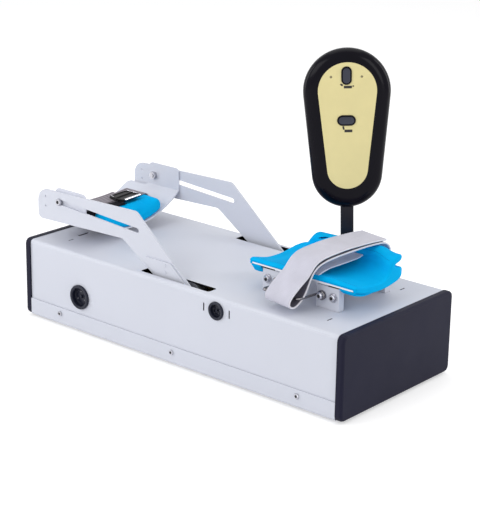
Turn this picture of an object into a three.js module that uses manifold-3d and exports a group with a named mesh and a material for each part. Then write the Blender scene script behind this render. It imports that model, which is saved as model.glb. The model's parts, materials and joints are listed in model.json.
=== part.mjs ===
// Arm rehabilitation machine: a bench-top exerciser that bends and straightens the elbow.
// Millimetres, +Z up. X runs along the box, the wrist end at -X, and the front is at -Y.
// The origin is on the table, centred under the box.
import * as THREE from 'three';
import { mergeVertices } from 'three/addons/utils/BufferGeometryUtils.js';
import Module from 'manifold-3d';

const wasm = await Module();
wasm.setup();

// Fits and stock
const gap = 0.3;
const overrun = 2;
const sheet = 1.5;
const armSheet = 3;
const bracketSheet = 2;

// Box
const bodyLength = 550;
const bodyDepth = 230;
const bodyHeight = 112;
const coverBend = 5;
const panLip = 24.7;
const panBend = 3;
const foot = { height: 4, radius: 10, edge: 1, neck: 3, barb: 4.5, barbHeight: 2 };
const footPlace = { inset: 40, y: 85 };
const cap = { thickness: 10, lip: 0.5, corner: 8, edge: 3.5, wall: 3, rib: 2, reach: 8, play: 0.4 };

// Openings in the cover
const armSlot = { left: -68, right: 55, width: 17, corner: 3 };
const ventSlot = { inset: 43, y: 77, length: 10, width: 2 };
const spareSlot = { inset: 37, y: 47, length: 20, width: 4 };
const keySlot = { spread: 43.9, width: 2, height: 11, lift: 0.3 };

// Sockets on the front
const inlet = { inset: 99.6, rise: 50.1, flange: 17.5, proud: 3.2, barrel: 14, depth: 24, bowl: 12.5,
  bowlDepth: 9, post: 4, pin: 1.6, pins: 3, ring: 8 };
const socket = { x: 77.35, rise: 94.2, flange: 12.5, proud: 2.6, barrel: 9.5, depth: 18, bowl: 8,
  bowlDepth: 7, post: 2.4, pin: 0.9, pins: 5, ring: 5.2 };

// Screws
const coverScrew = { head: 4, headHeight: 1.9, shank: 2, length: 10, recess: 1.2, inset: 60.3, rise: 16.2 };
const stemScrew = { head: 3.4, headHeight: 1.7, shank: 1.7, length: 9, recess: 1 };

// Swing frame: corners of the arm are measured from the pivot
const pivot = { x: 8, drop: 21 };
const armY = 97;
const arm = { tipX: -283, tipLow: 50.3, tipHigh: 94.3, innerBend: 27.3, innerZ: 56, outerBend: 2.3, outerZ: 99,
  hub: 17.5, tipLowRound: 8, tipHighRound: 18, innerRound: 10, outerRound: 9 };
const slot = { x: -240, z: 81.6, length: 151.3, width: 7.5, tiltDegrees: 3.4 };
const tipHole = { x: -267.5, high: 84.4, low: 70.7, radius: 1.5 };
const crank = { sheet: 2, hub: 15, left: -80, right: -26, top: 41, corner: 3 };
const rivet = { x: -35, high: 37, low: 27, radius: 2.2, height: 0.8 };

// Drive
const shaft = { radius: 6, thread: 5, end: 108.5 };
const shaftNut = { flats: 17, height: 5.8 };
const bearing = { outer: 14, width: 8, groove: 0.8, innerRing: 8.4, outerRing: 11.8 };
const block = { y: 74, thickness: 12, shoulder: 10, top: 18, foot: 60, footHeight: 6, footDepth: 26,
  waist: 22, rim: 7, corner: 5, screw: 4, screwHeight: 3, screwX: 24, screwY: 9 };
const gear = { module: 1.25, bigTeeth: 96, smallTeeth: 16, pressureDegrees: 20, backlash: 0.16, slack: 0.12,
  width: 8, y: -41, spanDegrees: 112, leadDegrees: 11, hub: 14, hubWidth: 20, rim: 7, windows: 3 };
const pinion = { width: 10, hub: 7, hubWidth: 3, shaft: 3, shaftIn: 12, shaftOut: 2 };
const motor = { gearbox: 18.5, gearboxLength: 25, can: 16.5, canLength: 44, boss: 6, bossHeight: 3,
  tail: 5, tailLength: 3, edge: 1.5 };
const motorBracket = { y: -28, width: 46, height: 46, foot: 60, footDepth: 28, corner: 6 };

// Electronics
const board = { fromEnd: 135, y: 25, length: 100, depth: 70, thickness: 1.6, standoff: 8, standoffRadius: 3,
  inset: 6,
  capacitor: 6, capacitorHeight: 18, sink: 30, sinkDepth: 16, fins: 5, fin: 1.6, sinkHeight: 20, plug: 24,
  plugDepth: 8, plugHeight: 9, chip: 14, chipHeight: 3 };
const supply = { inset: 110, y: 5, length: 100, depth: 62, height: 34, edge: 3, vents: 8, ventWidth: 3,
  ventDepth: 2,
  terminal: 14, terminalHeight: 12 };

// Wrist carriage, measured from its two bolts
const cradle = { left: -52.5, right: 49, earLeft: -10, earTop: 18.4, shoulder: -17, radius: 152,
  bottom: -48.6,
  corner: 6, notch: 8 };
const carriageBolt = { head: 5.25, headHeight: 3.2, shank: 3, nutFlats: 10, nutHeight: 5, tail: 1.2,
  recess: 2 };
const wristPad = { left: -43, right: 47, half: 60, crown: 21, edge: 5 };
const wristStrap = { left: -18, width: 38, thickness: 1.6, slotY: 66, slotWidth: 4 };
const buckle = { x: 23, y: 24.5, length: 32, depth: 37, height: 3, rim: 4, bar: 4, barX: 8, corner: 3 };

// Cuff, measured along X from the middle of its tray
const cuff = { inset: 108, left: -82, right: 82, half: 54, radius: 150.8, rise: 26, corner: 22 };
const cuffPlate = { left: -77, right: 68, half: 62 };
const post = { width: 36, flange: 10, lefts: [-67, 22], half: 50, top: 30.2, clearance: 0.8 };
const lug = { inset: 4, width: 28, drop: 8, corner: 4, neckLeft: -2, neck: 15, shoulder: 3 };
const cuffBolt = { rise: 17.5, outerXs: [-58, 49], innerXs: [-41, 32], head: 5, headHeight: 3.4,
  washer: 6.4,
  washerHeight: 1.4, shank: 2.5, nutFlats: 8, nutHeight: 4, tail: 1.5, recess: 1.6 };
const bail = { wire: 1.75, left: -34, right: 24.5, reach: 40, rise: 19.5, round: 6 };
const cuffPad = { left: -87, right: 87, rise: 35, climb: 0.13, flapStart: -75, flapEnd: -53, foldStart: 50,
  round: 5, pinch: 0.3, corner: 25, back: 59.4, rollDrop: 4.5, rollHeight: 9 };
const cuffStrap = { left: -13.6, width: 49, thickness: 2, skew: 0.18, crest: 69 };

// Handset on its stalk; heights are measured from the bottom of the handset
const stalk = { x: -25.9, y: 77, width: 17.3, thickness: 5, length: 94, into: 14, turnDegrees: 40.65,
  leanDegrees: 2.05 };
const stemFoot = { half: 17.8, depth: 7.5, height: 3, sleeve: 15, wall: 2.2, screw: 14.2 };
const handset = { head: 57, headZ: 156, tail: 46.5, tailZ: 46.5, depth: 26, edge: 9, roll: 13, wall: 2.5 };
const face = { head: 38, headZ: 158.4, tail: 26.5, tailZ: 54.6, thickness: 0.7 };
const buttonUp = { width: 12.3, height: 22.7, x: -1.2, z: 179.2 };
const buttonDown = { width: 22.8, height: 12.6, x: -1.3, z: 120.1 };
const button = { proud: 1.5, play: 0.35, flange: 1.6, flangeHeight: 1.4, crown: 0.6 };
const lamp = { radius: 1.75, left: -21.2, right: 18.5, z: 177.6 };

// Places that follow from the sizes above
const panZ = foot.height;
const floorZ = panZ + sheet;
const seatZ = floorZ + gap;
const topZ = panZ + bodyHeight;
const coverLow = panZ + panBend + gap;
const ceilingZ = topZ - sheet;
const halfLength = bodyLength / 2;
const halfDepth = bodyDepth / 2;
const panHalf = halfDepth + gap + sheet;
const pivotZ = topZ - pivot.drop;
const armFace = armY + armSheet / 2;
const armBack = armY - armSheet / 2;
const crankFace = armFace + gap + crank.sheet;
const bigPitch = gear.module * gear.bigTeeth / 2;
const smallPitch = gear.module * gear.smallTeeth / 2;
const pinionZ = pivotZ - bigPitch - smallPitch - gear.slack;
const boltX = pivot.x + slot.x;
const slotEnd = slot.x + slot.length;
const cuffX = halfLength - cuff.inset;
const inletX = inlet.inset - halfLength;
const footX = halfLength - footPlace.inset;
const boltZ = pivotZ + slot.z;
const earFace = armBack - gap;
const trayZ = topZ + cuff.rise;
const stalkTurn = THREE.MathUtils.degToRad(stalk.turnDegrees);
const stalkLean = THREE.MathUtils.degToRad(stalk.leanDegrees);

// Colours
const colours = {
  shell: 0xd9dce6, caps: 0x2b2c38, rubber: 0x17171b, foam: 0x00a0e9, webbing: 0x7f7d86, strap: 0xc4c3cc,
  plastic: 0x1d1a22, faceplate: 0xd9d09a, steel: 0xb9bcc4, zinc: 0x9da2a9, brass: 0xb5a162, board: 0x1e5a38,
  aluminium: 0xc3c7ce,
};

// Rounds are faceted to within the sag.
const facetSag = 0.32;
const leastSteps = 8;
const weld = 1e-4;

function roundSteps(radius) {
  return Math.max(leastSteps, 2 * Math.ceil(Math.PI * Math.sqrt(radius / (2 * facetSag)) / 2));
}

function solidOf(geometry) {
  const bare = geometry.index ? geometry.toNonIndexed() : geometry.clone();
  bare.deleteAttribute('normal');
  bare.deleteAttribute('uv');
  const welded = mergeVertices(bare, weld);
  const index = welded.index.array;
  const kept = [];
  for (let i = 0; i < index.length; i += 3) {
    const [a, b, c] = [index[i], index[i + 1], index[i + 2]];
    if (a !== b && b !== c && c !== a) kept.push([a, b, c]);
  }
  const build = (faces) => new wasm.Manifold(new wasm.Mesh({
    numProp: 3,
    vertProperties: new Float32Array(welded.attributes.position.array),
    triVerts: new Uint32Array(faces.flat()),
  }));
  const made = build(kept);
  return made.volume() < 0 ? build(kept.map(([a, b, c]) => [a, c, b])) : made;
}

function geometryOf(solid) {
  const mesh = solid.getMesh();
  const geometry = new THREE.BufferGeometry();
  geometry.setAttribute('position', new THREE.BufferAttribute(new Float32Array(mesh.vertProperties), 3));
  geometry.setIndex(new THREE.BufferAttribute(new Uint32Array(mesh.triVerts), 1));
  return geometry;
}

function join(...parts) {
  return geometryOf(parts.map(solidOf).reduce((whole, part) => whole.add(part)));
}

function cut(base, ...tools) {
  return geometryOf(tools.map(solidOf).reduce((left, tool) => left.subtract(tool), solidOf(base)));
}

function common(first, second) {
  return geometryOf(solidOf(first).intersect(solidOf(second)));
}

function mirrored(geometry) {
  const other = geometry.index ? geometry.toNonIndexed() : geometry.clone();
  other.scale(1, -1, 1);
  return geometryOf(solidOf(other));
}

// A loop of [x, y, radius] corners as points, each corner rounded by its radius.
function filletLoop(corners) {
  const points = [];
  corners.forEach(([x, y, radius = 0], index) => {
    const here = new THREE.Vector2(x, y);
    if (radius === 0) {
      points.push(here);
      return;
    }
    const [beforeX, beforeY] = corners[(index + corners.length - 1) % corners.length];
    const [afterX, afterY] = corners[(index + 1) % corners.length];
    const back = new THREE.Vector2(beforeX, beforeY).sub(here).normalize();
    const ahead = new THREE.Vector2(afterX, afterY).sub(here).normalize();
    const half = Math.acos(back.dot(ahead)) / 2;
    const toCentre = back.clone().add(ahead).normalize();
    const centre = here.clone().addScaledVector(toCentre, radius / Math.sin(half));
    const start = here.clone().addScaledVector(back, radius / Math.tan(half)).sub(centre).angle();
    const end = here.clone().addScaledVector(ahead, radius / Math.tan(half)).sub(centre).angle();
    const turn = THREE.MathUtils.euclideanModulo(end - start + Math.PI, 2 * Math.PI) - Math.PI;
    points.push(...arcPoints(centre.x, centre.y, radius, start, turn));
  });
  return points;
}

function arcPoints(x, y, radius, start, turn) {
  const steps = Math.max(2, Math.ceil(roundSteps(radius) * Math.abs(turn) / (2 * Math.PI)));
  return Array.from({ length: steps + 1 }, (_, i) => {
    const angle = start + turn * i / steps;
    return new THREE.Vector2(x + radius * Math.cos(angle), y + radius * Math.sin(angle));
  });
}

function circle(x, y, radius) {
  return arcPoints(x, y, radius, 0, 2 * Math.PI).slice(0, -1);
}

function rectangle(x, y, width, height, radius = 0) {
  const [w, h] = [width / 2, height / 2];
  return filletLoop([[x - w, y - h, radius], [x + w, y - h, radius], [x + w, y + h, radius],
    [x - w, y + h, radius]]);
}

function pill(x, y, width, height) {
  return rectangle(x, y, width, height, Math.min(width, height) / 2 - weld);
}

function polar(radius, angle) {
  return new THREE.Vector2(radius * Math.cos(angle), radius * Math.sin(angle));
}

function hexagon(flats) {
  return Array.from({ length: 6 }, (_, i) => polar(flats / Math.sqrt(3), i * Math.PI / 3));
}

// Plates: a loop with holes, pushed along one axis from one place to another.
function plateXY(loop, from, to, holes = []) {
  const shape = new THREE.Shape(loop);
  shape.holes = holes.map((hole) => new THREE.Path(hole));
  return new THREE.ExtrudeGeometry(shape, { depth: to - from, bevelEnabled: false }).translate(0, 0, from);
}

function plateXZ(loop, from, to, holes = []) {
  return plateXY(loop, -to, -from, holes).rotateX(Math.PI / 2);
}

const alongX = new THREE.Matrix4().set(0, 0, 1, 0, 1, 0, 0, 0, 0, 1, 0, 0, 0, 0, 0, 1);

function plateYZ(loop, from, to, holes = []) {
  return plateXY(loop, from, to, holes).applyMatrix4(alongX);
}

function box(x0, x1, y0, y1, z0, z1) {
  return new THREE.BoxGeometry(x1 - x0, y1 - y0, z1 - z0).translate((x0 + x1) / 2, (y0 + y1) / 2,
    (z0 + z1) / 2);
}

// A turned solid about Y from [radius, y] pairs; a profile off the axis closes on itself.
function turned(profile) {
  const steps = roundSteps(Math.max(...profile.map(([radius]) => radius)));
  return new THREE.LatheGeometry(profile.map(([radius, along]) => new THREE.Vector2(radius, along)), steps);
}

function disc(radius, from, to) {
  return turned([[0, from], [radius, from], [radius, to], [0, to]]);
}

// A button-head screw along Y: the head's seat is at y = 0 and its shank runs to +Y.
function screwSolid({ head, headHeight, shank, length, recess }) {
  const crown = headHeight / 3;
  const socketRadius = head / 2;
  return turned([[0, -headHeight + recess], [socketRadius, -headHeight + recess], [socketRadius, -headHeight],
    [head - crown, -headHeight], [head - crown / 3, -headHeight + crown], [head, 0], [shank, 0],
    [shank, length],
    [0, length]]);
}

const machine = new THREE.Group();

function piece(name, geometry, { color, roughness = 0.5, metalness = 0 }, parent = machine) {
  const flat = geometry.index ? geometry.toNonIndexed() : geometry;
  flat.computeVertexNormals();
  const mesh = new THREE.Mesh(flat, new THREE.MeshStandardMaterial({ color, roughness, metalness }));
  mesh.name = name;
  parent.add(mesh);
  return mesh;
}

const paint = { color: colours.shell, roughness: 0.45, metalness: 0.1 };
const capPlastic = { color: colours.caps, roughness: 0.6 };
const rubber = { color: colours.rubber, roughness: 0.9 };
const gloss = { color: colours.plastic, roughness: 0.2 };
const steel = { color: colours.steel, roughness: 0.3, metalness: 0.9 };
const zinc = { color: colours.zinc, roughness: 0.4, metalness: 0.8 };
const brass = { color: colours.brass, roughness: 0.35, metalness: 0.9 };
const foam = { color: colours.foam, roughness: 0.8 };
const webbing = { color: colours.webbing, roughness: 0.9 };
const loopTape = { color: colours.strap, roughness: 0.9 };

const sides = [['front', -1], ['back', 1]];
const ends = [['left', -1], ['right', 1]];

// Box: a pan whose lips stand outside a cover, and two moulded caps
function channel(half, openZ, closedZ, thickness, bend) {
  const inward = Math.sign(openZ - closedZ) * thickness;
  const inner = half - thickness;
  return filletLoop([[-half, openZ], [-half, closedZ, bend], [half, closedZ, bend], [half, openZ],
    [inner, openZ],
    [inner, closedZ + inward, bend - thickness], [-inner, closedZ + inward, bend - thickness],
    [-inner, openZ]]);
}

function screwHole(x, side, z) {
  const radius = coverScrew.shank + gap;
  const reach = sheet + overrun;
  return disc(radius, -reach, reach).translate(x, side * (panHalf + halfDepth - sheet) / 2, z);
}

const coverScrewXs = [coverScrew.inset - halfLength, 0, halfLength - coverScrew.inset];
const coverScrewZ = panZ + coverScrew.rise;

function basePan() {
  const body = plateYZ(channel(panHalf, panZ + panLip, panZ, sheet, panBend), -halfLength + gap,
    halfLength - gap);
  const tools = sides.flatMap(([, side]) => coverScrewXs.map((x) => screwHole(x, side, coverScrewZ)));
  for (const [, endSide] of ends) {
    for (const [, side] of sides) {
      const hole = disc(foot.neck + gap, -overrun, sheet + overrun).rotateX(Math.PI / 2);
      tools.push(hole.translate(endSide * footX, side * footPlace.y, panZ + sheet));
    }
  }
  return cut(body, ...tools);
}

// The outline of one cuff post, an angle with its flange on the right; grown for its slot in the cover
function postOutline(left, y, grow = 0) {
  const right = left + post.width;
  const inner = bracketSheet;
  return [[left - grow, y - grow], [right + grow, y - grow], [right + grow, y + post.flange + grow],
    [right - inner - grow, y + post.flange + grow], [right - inner - grow, y + inner + grow],
    [left - grow, y + inner + grow]].map(([px, py]) => new THREE.Vector2(px, py));
}

const postPlaces = post.lefts.flatMap((left) => [[left, -post.half], [left, post.half - bracketSheet]]);

function stemScrewPlaces() {
  return [-1, 1].map((side) => new THREE.Vector2(cuffX + stalk.x, stalk.y)
    .add(polar(side * stemFoot.screw, stalkTurn)));
}

function topCover() {
  const body = plateYZ(channel(halfDepth, coverLow, topZ, sheet, coverBend), -halfLength + gap,
    halfLength - gap);
  const through = (loop) => plateXY(loop, ceilingZ - overrun, topZ + overrun);
  const tools = sides.flatMap(([, side]) => coverScrewXs.map((x) => screwHole(x, side, coverScrewZ)));
  for (const [, side] of sides) {
    const middle = (armSlot.left + armSlot.right) / 2;
    const length = armSlot.right - armSlot.left;
    tools.push(through(rectangle(middle, side * armY, length, armSlot.width, armSlot.corner)));
    tools.push(through(rectangle(spareSlot.inset - halfLength, side * spareSlot.y, spareSlot.width,
      spareSlot.length)));
    for (const [, endSide] of ends) {
      tools.push(through(rectangle(endSide * (halfLength - ventSlot.inset), side * ventSlot.y,
        ventSlot.width, ventSlot.length)));
    }
  }
  postPlaces.forEach(([left, y]) => tools.push(through(postOutline(cuffX + left, y, post.clearance))));
  for (const place of stemScrewPlaces()) {
    tools.push(through(circle(place.x, place.y, stemScrew.shank + gap)));
  }
  const sideFrom = -halfDepth - overrun;
  const sideTo = -halfDepth + sheet + overrun;
  tools.push(plateXZ(circle(inletX, panZ + inlet.rise, inlet.barrel + gap), sideFrom, sideTo));
  tools.push(plateXZ(circle(socket.x, panZ + socket.rise, socket.barrel + gap), sideFrom, sideTo));
  for (const side of [-1, 1]) {
    const x = socket.x + side * keySlot.spread / 2;
    const z = panZ + socket.rise + keySlot.lift;
    tools.push(plateXZ(rectangle(x, z, keySlot.width, keySlot.height), sideFrom, sideTo));
  }
  return cut(body, ...tools);
}

// A cap is moulded hollow, with a rib all round that slips inside the cover.
function endCap() {
  const bottom = panZ - cap.lip;
  const top = topZ + 2 * cap.lip;
  const height = top - bottom;
  const middle = (top + bottom) / 2;
  const width = 2 * (panHalf + cap.lip);
  const loopOf = (inset) => rectangle(0, middle, width - 2 * inset, height - 2 * inset, cap.corner - inset);
  const bevel = { depth: cap.thickness, bevelSize: cap.edge, bevelOffset: -cap.edge, bevelThickness: cap.edge,
    bevelSegments: 3 };
  const rounded = new THREE.ExtrudeGeometry(new THREE.Shape(loopOf(0)), bevel).applyMatrix4(alongX)
    .translate(-cap.edge, 0, 0);
  const outer = common(rounded, box(0, cap.thickness, -width, width, bottom - overrun, top + overrun));
  const hollow = plateYZ(loopOf(cap.wall), -overrun, cap.thickness - cap.wall);
  const ribOuter = halfDepth - sheet - cap.play;
  const ribLoop = (inset) => {
    const low = floorZ + cap.play + inset;
    const high = ceilingZ - cap.play - inset;
    const corner = Math.max(coverBend - inset, sheet);
    return rectangle(0, (low + high) / 2, 2 * (ribOuter - inset), high - low, corner);
  };
  const rib = plateYZ(ribLoop(0), -cap.reach, cap.thickness - cap.wall + gap, [ribLoop(cap.rib)]);
  return join(cut(outer, hollow), rib);
}

function bumper() {
  return turned([[0, 0], [foot.radius - foot.edge, 0], [foot.radius, foot.edge],
    [foot.radius, foot.height - gap],
    [foot.neck, foot.height - gap], [foot.neck, seatZ], [foot.barb, seatZ],
    [foot.neck, seatZ + foot.barbHeight], [0, seatZ + foot.barbHeight]]).rotateX(Math.PI / 2);
}

function addBox() {
  piece('base_pan', basePan(), paint);
  piece('top_cover', topCover(), paint);
  const capGeometry = endCap();
  for (const [name, side] of ends) {
    const mesh = piece(`end_cap_${name}`, capGeometry, capPlastic);
    mesh.position.x = side * halfLength;
    mesh.rotation.z = side < 0 ? Math.PI : 0;
  }
  const screw = screwSolid(coverScrew);
  for (const [name, side] of sides) {
    coverScrewXs.forEach((x, index) => {
      const mesh = piece(`cover_screw_${name}_${index + 1}`, screw, steel);
      mesh.position.set(x, side * (panHalf + gap), coverScrewZ);
      mesh.rotation.z = side > 0 ? Math.PI : 0;
    });
    for (const [endName, endSide] of ends) {
      const mesh = piece(`foot_${name}_${endName}`, bumper(), rubber);
      mesh.position.set(endSide * footX, side * footPlace.y, 0);
    }
  }
}

// Round sockets: a flange on the cover, a barrel through it and a bowl with a post and pin holes
function roundSocket({ flange, proud, barrel, depth, bowl, bowlDepth, post: postRadius, pin, pins,
  ring: pinRing }) {
  const lip = proud / 3;
  const face = -proud - gap;
  const body = turned([[0, depth], [barrel, depth], [barrel, -gap], [flange, -gap], [flange, face + lip],
    [flange - lip, face], [bowl, face], [bowl, face + bowlDepth], [postRadius, face + bowlDepth],
    [postRadius, face + lip + lip], [0, face + lip + lip]]);
  const holes = Array.from({ length: pins }, (_, i) => {
    const place = polar(pinRing, Math.PI / 2 + i * 2 * Math.PI / pins);
    return disc(pin, 0, depth / 2).translate(place.x, face + bowlDepth - overrun, place.y);
  });
  return cut(body, ...holes);
}

function addSockets() {
  for (const [name, sizes, x] of [['power_inlet', inlet, inletX], ['handset_socket', socket, socket.x]]) {
    const mesh = piece(name, roundSocket(sizes), { ...capPlastic, roughness: 0.35 });
    mesh.position.set(x, -halfDepth, panZ + sizes.rise);
  }
}

// Swing frame: two slotted arms and their crank plates, carried by one cross shaft
function hubArc(radius, start, end) {
  const from = start.angle();
  const turn = THREE.MathUtils.euclideanModulo(end.angle() - from, 2 * Math.PI);
  return arcPoints(0, 0, radius, from, turn);
}

// Where a line from a far point touches the hub; side 1 is to the left of the line to the hub.
function touch(x, z, radius, side) {
  const far = new THREE.Vector2(x, z);
  const angle = far.angle() + side * Math.acos(radius / far.length());
  return polar(radius, angle);
}

function legLoop(inner, outer, radius, rest) {
  const lowTouch = touch(inner.x, inner.z, radius, 1);
  const highTouch = touch(outer.x, outer.z, radius, -1);
  const hub = hubArc(radius, lowTouch, highTouch).map((point) => [point.x, point.y, 0]);
  return filletLoop([...hub, ...rest]);
}

function swingArm() {
  const inner = { x: slotEnd - arm.innerBend, z: arm.innerZ };
  const outer = { x: slotEnd - arm.outerBend, z: arm.outerZ };
  const loop = legLoop(inner, outer, arm.hub, [[outer.x, outer.z, arm.outerRound],
    [arm.tipX, arm.tipHigh, arm.tipHighRound], [arm.tipX, arm.tipLow, arm.tipLowRound],
    [inner.x, inner.z, arm.innerRound]]);
  const tilt = -THREE.MathUtils.degToRad(slot.tiltDegrees);
  const slotLoop = pill(slot.length / 2, 0, slot.length + slot.width, slot.width)
    .map((point) => point.rotateAround(new THREE.Vector2(), tilt).add(new THREE.Vector2(slot.x, slot.z)));
  const holes = [slotLoop, circle(0, 0, shaft.thread + gap), circle(tipHole.x, tipHole.high, tipHole.radius),
    circle(tipHole.x, tipHole.low, tipHole.radius)];
  return plateXZ(loop, -armSheet / 2, armSheet / 2, holes);
}

function crankPlate() {
  const inner = { x: crank.left, z: crank.top };
  const outer = { x: crank.right, z: crank.top };
  const loop = legLoop(inner, outer, crank.hub, [[outer.x, outer.z, crank.corner],
    [inner.x, inner.z, crank.corner]]);
  const plate = plateXZ(loop, -crank.sheet, 0, [circle(0, 0, shaft.thread + gap)]);
  const heads = [rivet.high, rivet.low].map((z) => disc(rivet.radius, -crank.sheet - rivet.height,
    -crank.sheet / 2)
    .translate(rivet.x, 0, z));
  return join(plate, ...heads);
}

function crossShaft() {
  const step = armBack - gap;
  const chamfer = shaft.thread / 5;
  return turned([[0, -shaft.end], [shaft.thread - chamfer, -shaft.end], [shaft.thread, -shaft.end + chamfer],
    [shaft.thread, -step], [shaft.radius, -step], [shaft.radius, step], [shaft.thread, step],
    [shaft.thread, shaft.end - chamfer], [shaft.thread - chamfer, shaft.end], [0, shaft.end]]);
}

function nut({ flats, height }, bore) {
  return plateXZ(hexagon(flats), 0, height, [circle(0, 0, bore)]);
}

function addSwingFrame() {
  const armGeometry = swingArm();
  const crankGeometry = crankPlate();
  for (const [name, side] of sides) {
    piece(`swing_arm_${name}`, armGeometry, paint).position.set(pivot.x, side * armY, pivotZ);
    const plate = side < 0 ? crankGeometry : mirrored(crankGeometry);
    piece(`crank_plate_${name}`, plate, paint).position.set(pivot.x, side * (armFace + gap), pivotZ);
    const nutMesh = piece(`shaft_nut_${name}`, nut({ flats: shaftNut.flats, height: shaftNut.height },
      shaft.thread + gap), zinc);
    nutMesh.position.set(pivot.x, side * (crankFace + gap), pivotZ);
    nutMesh.rotation.z = side < 0 ? Math.PI : 0;
  }
  piece('drive_shaft', crossShaft(), steel).position.set(pivot.x, 0, pivotZ);
}

// Drive: a gear motor, its pinion and a sector gear on the cross shaft
function involute(angle) {
  return Math.tan(angle) - angle;
}

const rootShare = 1.25;
const flankSteps = 3;

// The flank points of one tooth as [radius, half angle] pairs, from its root to its tip.
function toothFlank(teeth) {
  const pitch = gear.module * teeth / 2;
  const pressure = THREE.MathUtils.degToRad(gear.pressureDegrees);
  const base = pitch * Math.cos(pressure);
  const tip = pitch + gear.module;
  const root = pitch - gear.module * rootShare;
  const halfAtPitch = (Math.PI * gear.module / 2 - gear.backlash) / (2 * pitch);
  const start = Math.max(base, root);
  const flank = Array.from({ length: flankSteps }, (_, i) => {
    const radius = THREE.MathUtils.lerp(start, tip, i / (flankSteps - 1));
    return [radius, halfAtPitch + involute(pressure) - involute(Math.acos(Math.min(1, base / radius)))];
  });
  return root < base ? [[root, flank[0][1]], ...flank] : flank;
}

function toothLoop(teeth, first, count) {
  const flank = toothFlank(teeth);
  return Array.from({ length: count }, (_, i) => {
    const middle = (first + i) * 2 * Math.PI / teeth;
    const rise = flank.map(([radius, half]) => polar(radius, middle - half));
    const fall = flank.map(([radius, half]) => polar(radius, middle + half)).reverse();
    return [...rise, ...fall];
  }).flat();
}

function sectorGear() {
  const perTooth = 2 * Math.PI / gear.bigTeeth;
  const down = gear.bigTeeth * 3 / 4;
  const behind = Math.round(THREE.MathUtils.degToRad(gear.leadDegrees) / perTooth);
  const count = Math.round(THREE.MathUtils.degToRad(gear.spanDegrees) / perTooth);
  const teeth = toothLoop(gear.bigTeeth, down - behind, count);
  const startAngle = teeth[0].angle();
  const endAngle = teeth[teeth.length - 1].angle();
  const rim = bigPitch - gear.module * rootShare - gear.rim;
  const around = THREE.MathUtils.euclideanModulo(startAngle - endAngle, 2 * Math.PI);
  const web = [...teeth, ...arcPoints(0, 0, gear.hub - gap, endAngle, around)];
  const span = THREE.MathUtils.euclideanModulo(endAngle - startAngle, 2 * Math.PI);
  const spoke = gear.rim / rim;
  const windows = Array.from({ length: gear.windows }, (_, i) => {
    const from = startAngle + spoke + i * (span - spoke) / gear.windows;
    const turn = (span - spoke) / gear.windows - spoke;
    const innerSpoke = gear.rim / (gear.hub + gear.rim);
    const lift = Math.min(innerSpoke - spoke, turn / 3) / 2;
    return [...arcPoints(0, 0, rim, from, turn),
      ...arcPoints(0, 0, gear.hub + gear.rim, from + turn - lift, 2 * lift - turn)];
  });
  const plate = plateXZ(web, -gear.width / 2, gear.width / 2, windows);
  const hub = disc(gear.hub, -gear.hubWidth / 2, gear.hubWidth / 2);
  return cut(join(plate, hub), disc(shaft.radius + gap, -gear.hubWidth, gear.hubWidth));
}

function motorPinion() {
  const half = pinion.width / 2;
  const firstTooth = 0.5;
  const teeth = plateXZ(toothLoop(gear.smallTeeth, firstTooth, gear.smallTeeth), -half, half);
  const hub = disc(pinion.hub, half - gap, half + pinion.hubWidth);
  const inner = motorBracket.y + gap - motor.bossHeight + pinion.shaftIn - gear.y;
  return join(teeth, hub, disc(pinion.shaft, -half - pinion.shaftOut, inner));
}

function gearMotor() {
  const bore = pinion.shaft + gap;
  const boreEnd = -motor.bossHeight + pinion.shaftIn + gap;
  const canStart = motor.gearboxLength;
  const end = canStart + motor.canLength;
  return turned([[bore, -motor.bossHeight], [motor.boss, -motor.bossHeight], [motor.boss, 0],
    [motor.gearbox - motor.edge, 0], [motor.gearbox, motor.edge], [motor.gearbox, canStart],
    [motor.can, canStart],
    [motor.can, end - motor.edge], [motor.can - motor.edge, end], [motor.tail, end],
    [motor.tail, end + motor.tailLength],
    [0, end + motor.tailLength], [0, boreEnd], [bore, boreEnd], [bore, -motor.bossHeight]]);
}

function motorHolder() {
  const { width, height, foot: length, footDepth, corner } = motorBracket;
  const plate = plateXZ(filletLoop([[-width / 2, seatZ], [width / 2, seatZ],
    [width / 2, seatZ + height, corner], [-width / 2, seatZ + height, corner]]), -bracketSheet, 0,
  [circle(0, pinionZ, motor.boss + gap)]);
  const base = plateXY(rectangle(0, -footDepth / 2, length, footDepth, corner), seatZ, seatZ + bracketSheet);
  return join(plate, base);
}

function bearingBlock() {
  const bottom = seatZ - pivotZ;
  const footTop = bottom + block.footHeight;
  const right = touch(block.waist, footTop, block.top, 1);
  const left = touch(-block.waist, footTop, block.top, -1);
  const hub = hubArc(block.top, right, left);
  const loop = [...hub, new THREE.Vector2(-block.waist, footTop), new THREE.Vector2(-block.waist, bottom),
    new THREE.Vector2(block.waist, bottom), new THREE.Vector2(block.waist, footTop)];
  const low = footTop + block.rim;
  const high = -bearing.outer - block.rim;
  const wide = block.waist - block.rim;
  const narrow = block.top - block.rim;
  const windowLoop = filletLoop([[-wide, low, block.corner], [wide, low, block.corner],
    [narrow, high, block.corner], [-narrow, high, block.corner]]);
  const web = plateXZ(loop, -block.thickness / 2, block.thickness / 2,
    [windowLoop, circle(0, 0, block.shoulder)]);
  const base = box(-block.foot / 2, block.foot / 2, -block.footDepth / 2, block.footDepth / 2, bottom,
    footTop);
  const heads = [-1, 1].flatMap((sideX) => [-1, 1].map((sideY) => disc(block.screw, -gap, block.screwHeight)
    .rotateX(Math.PI / 2).translate(sideX * block.screwX, sideY * block.screwY, footTop)));
  const seat = disc(bearing.outer + gap, block.thickness / 2 - bearing.width, block.thickness / 2 + overrun);
  return cut(join(web, base, ...heads), seat);
}

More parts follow.
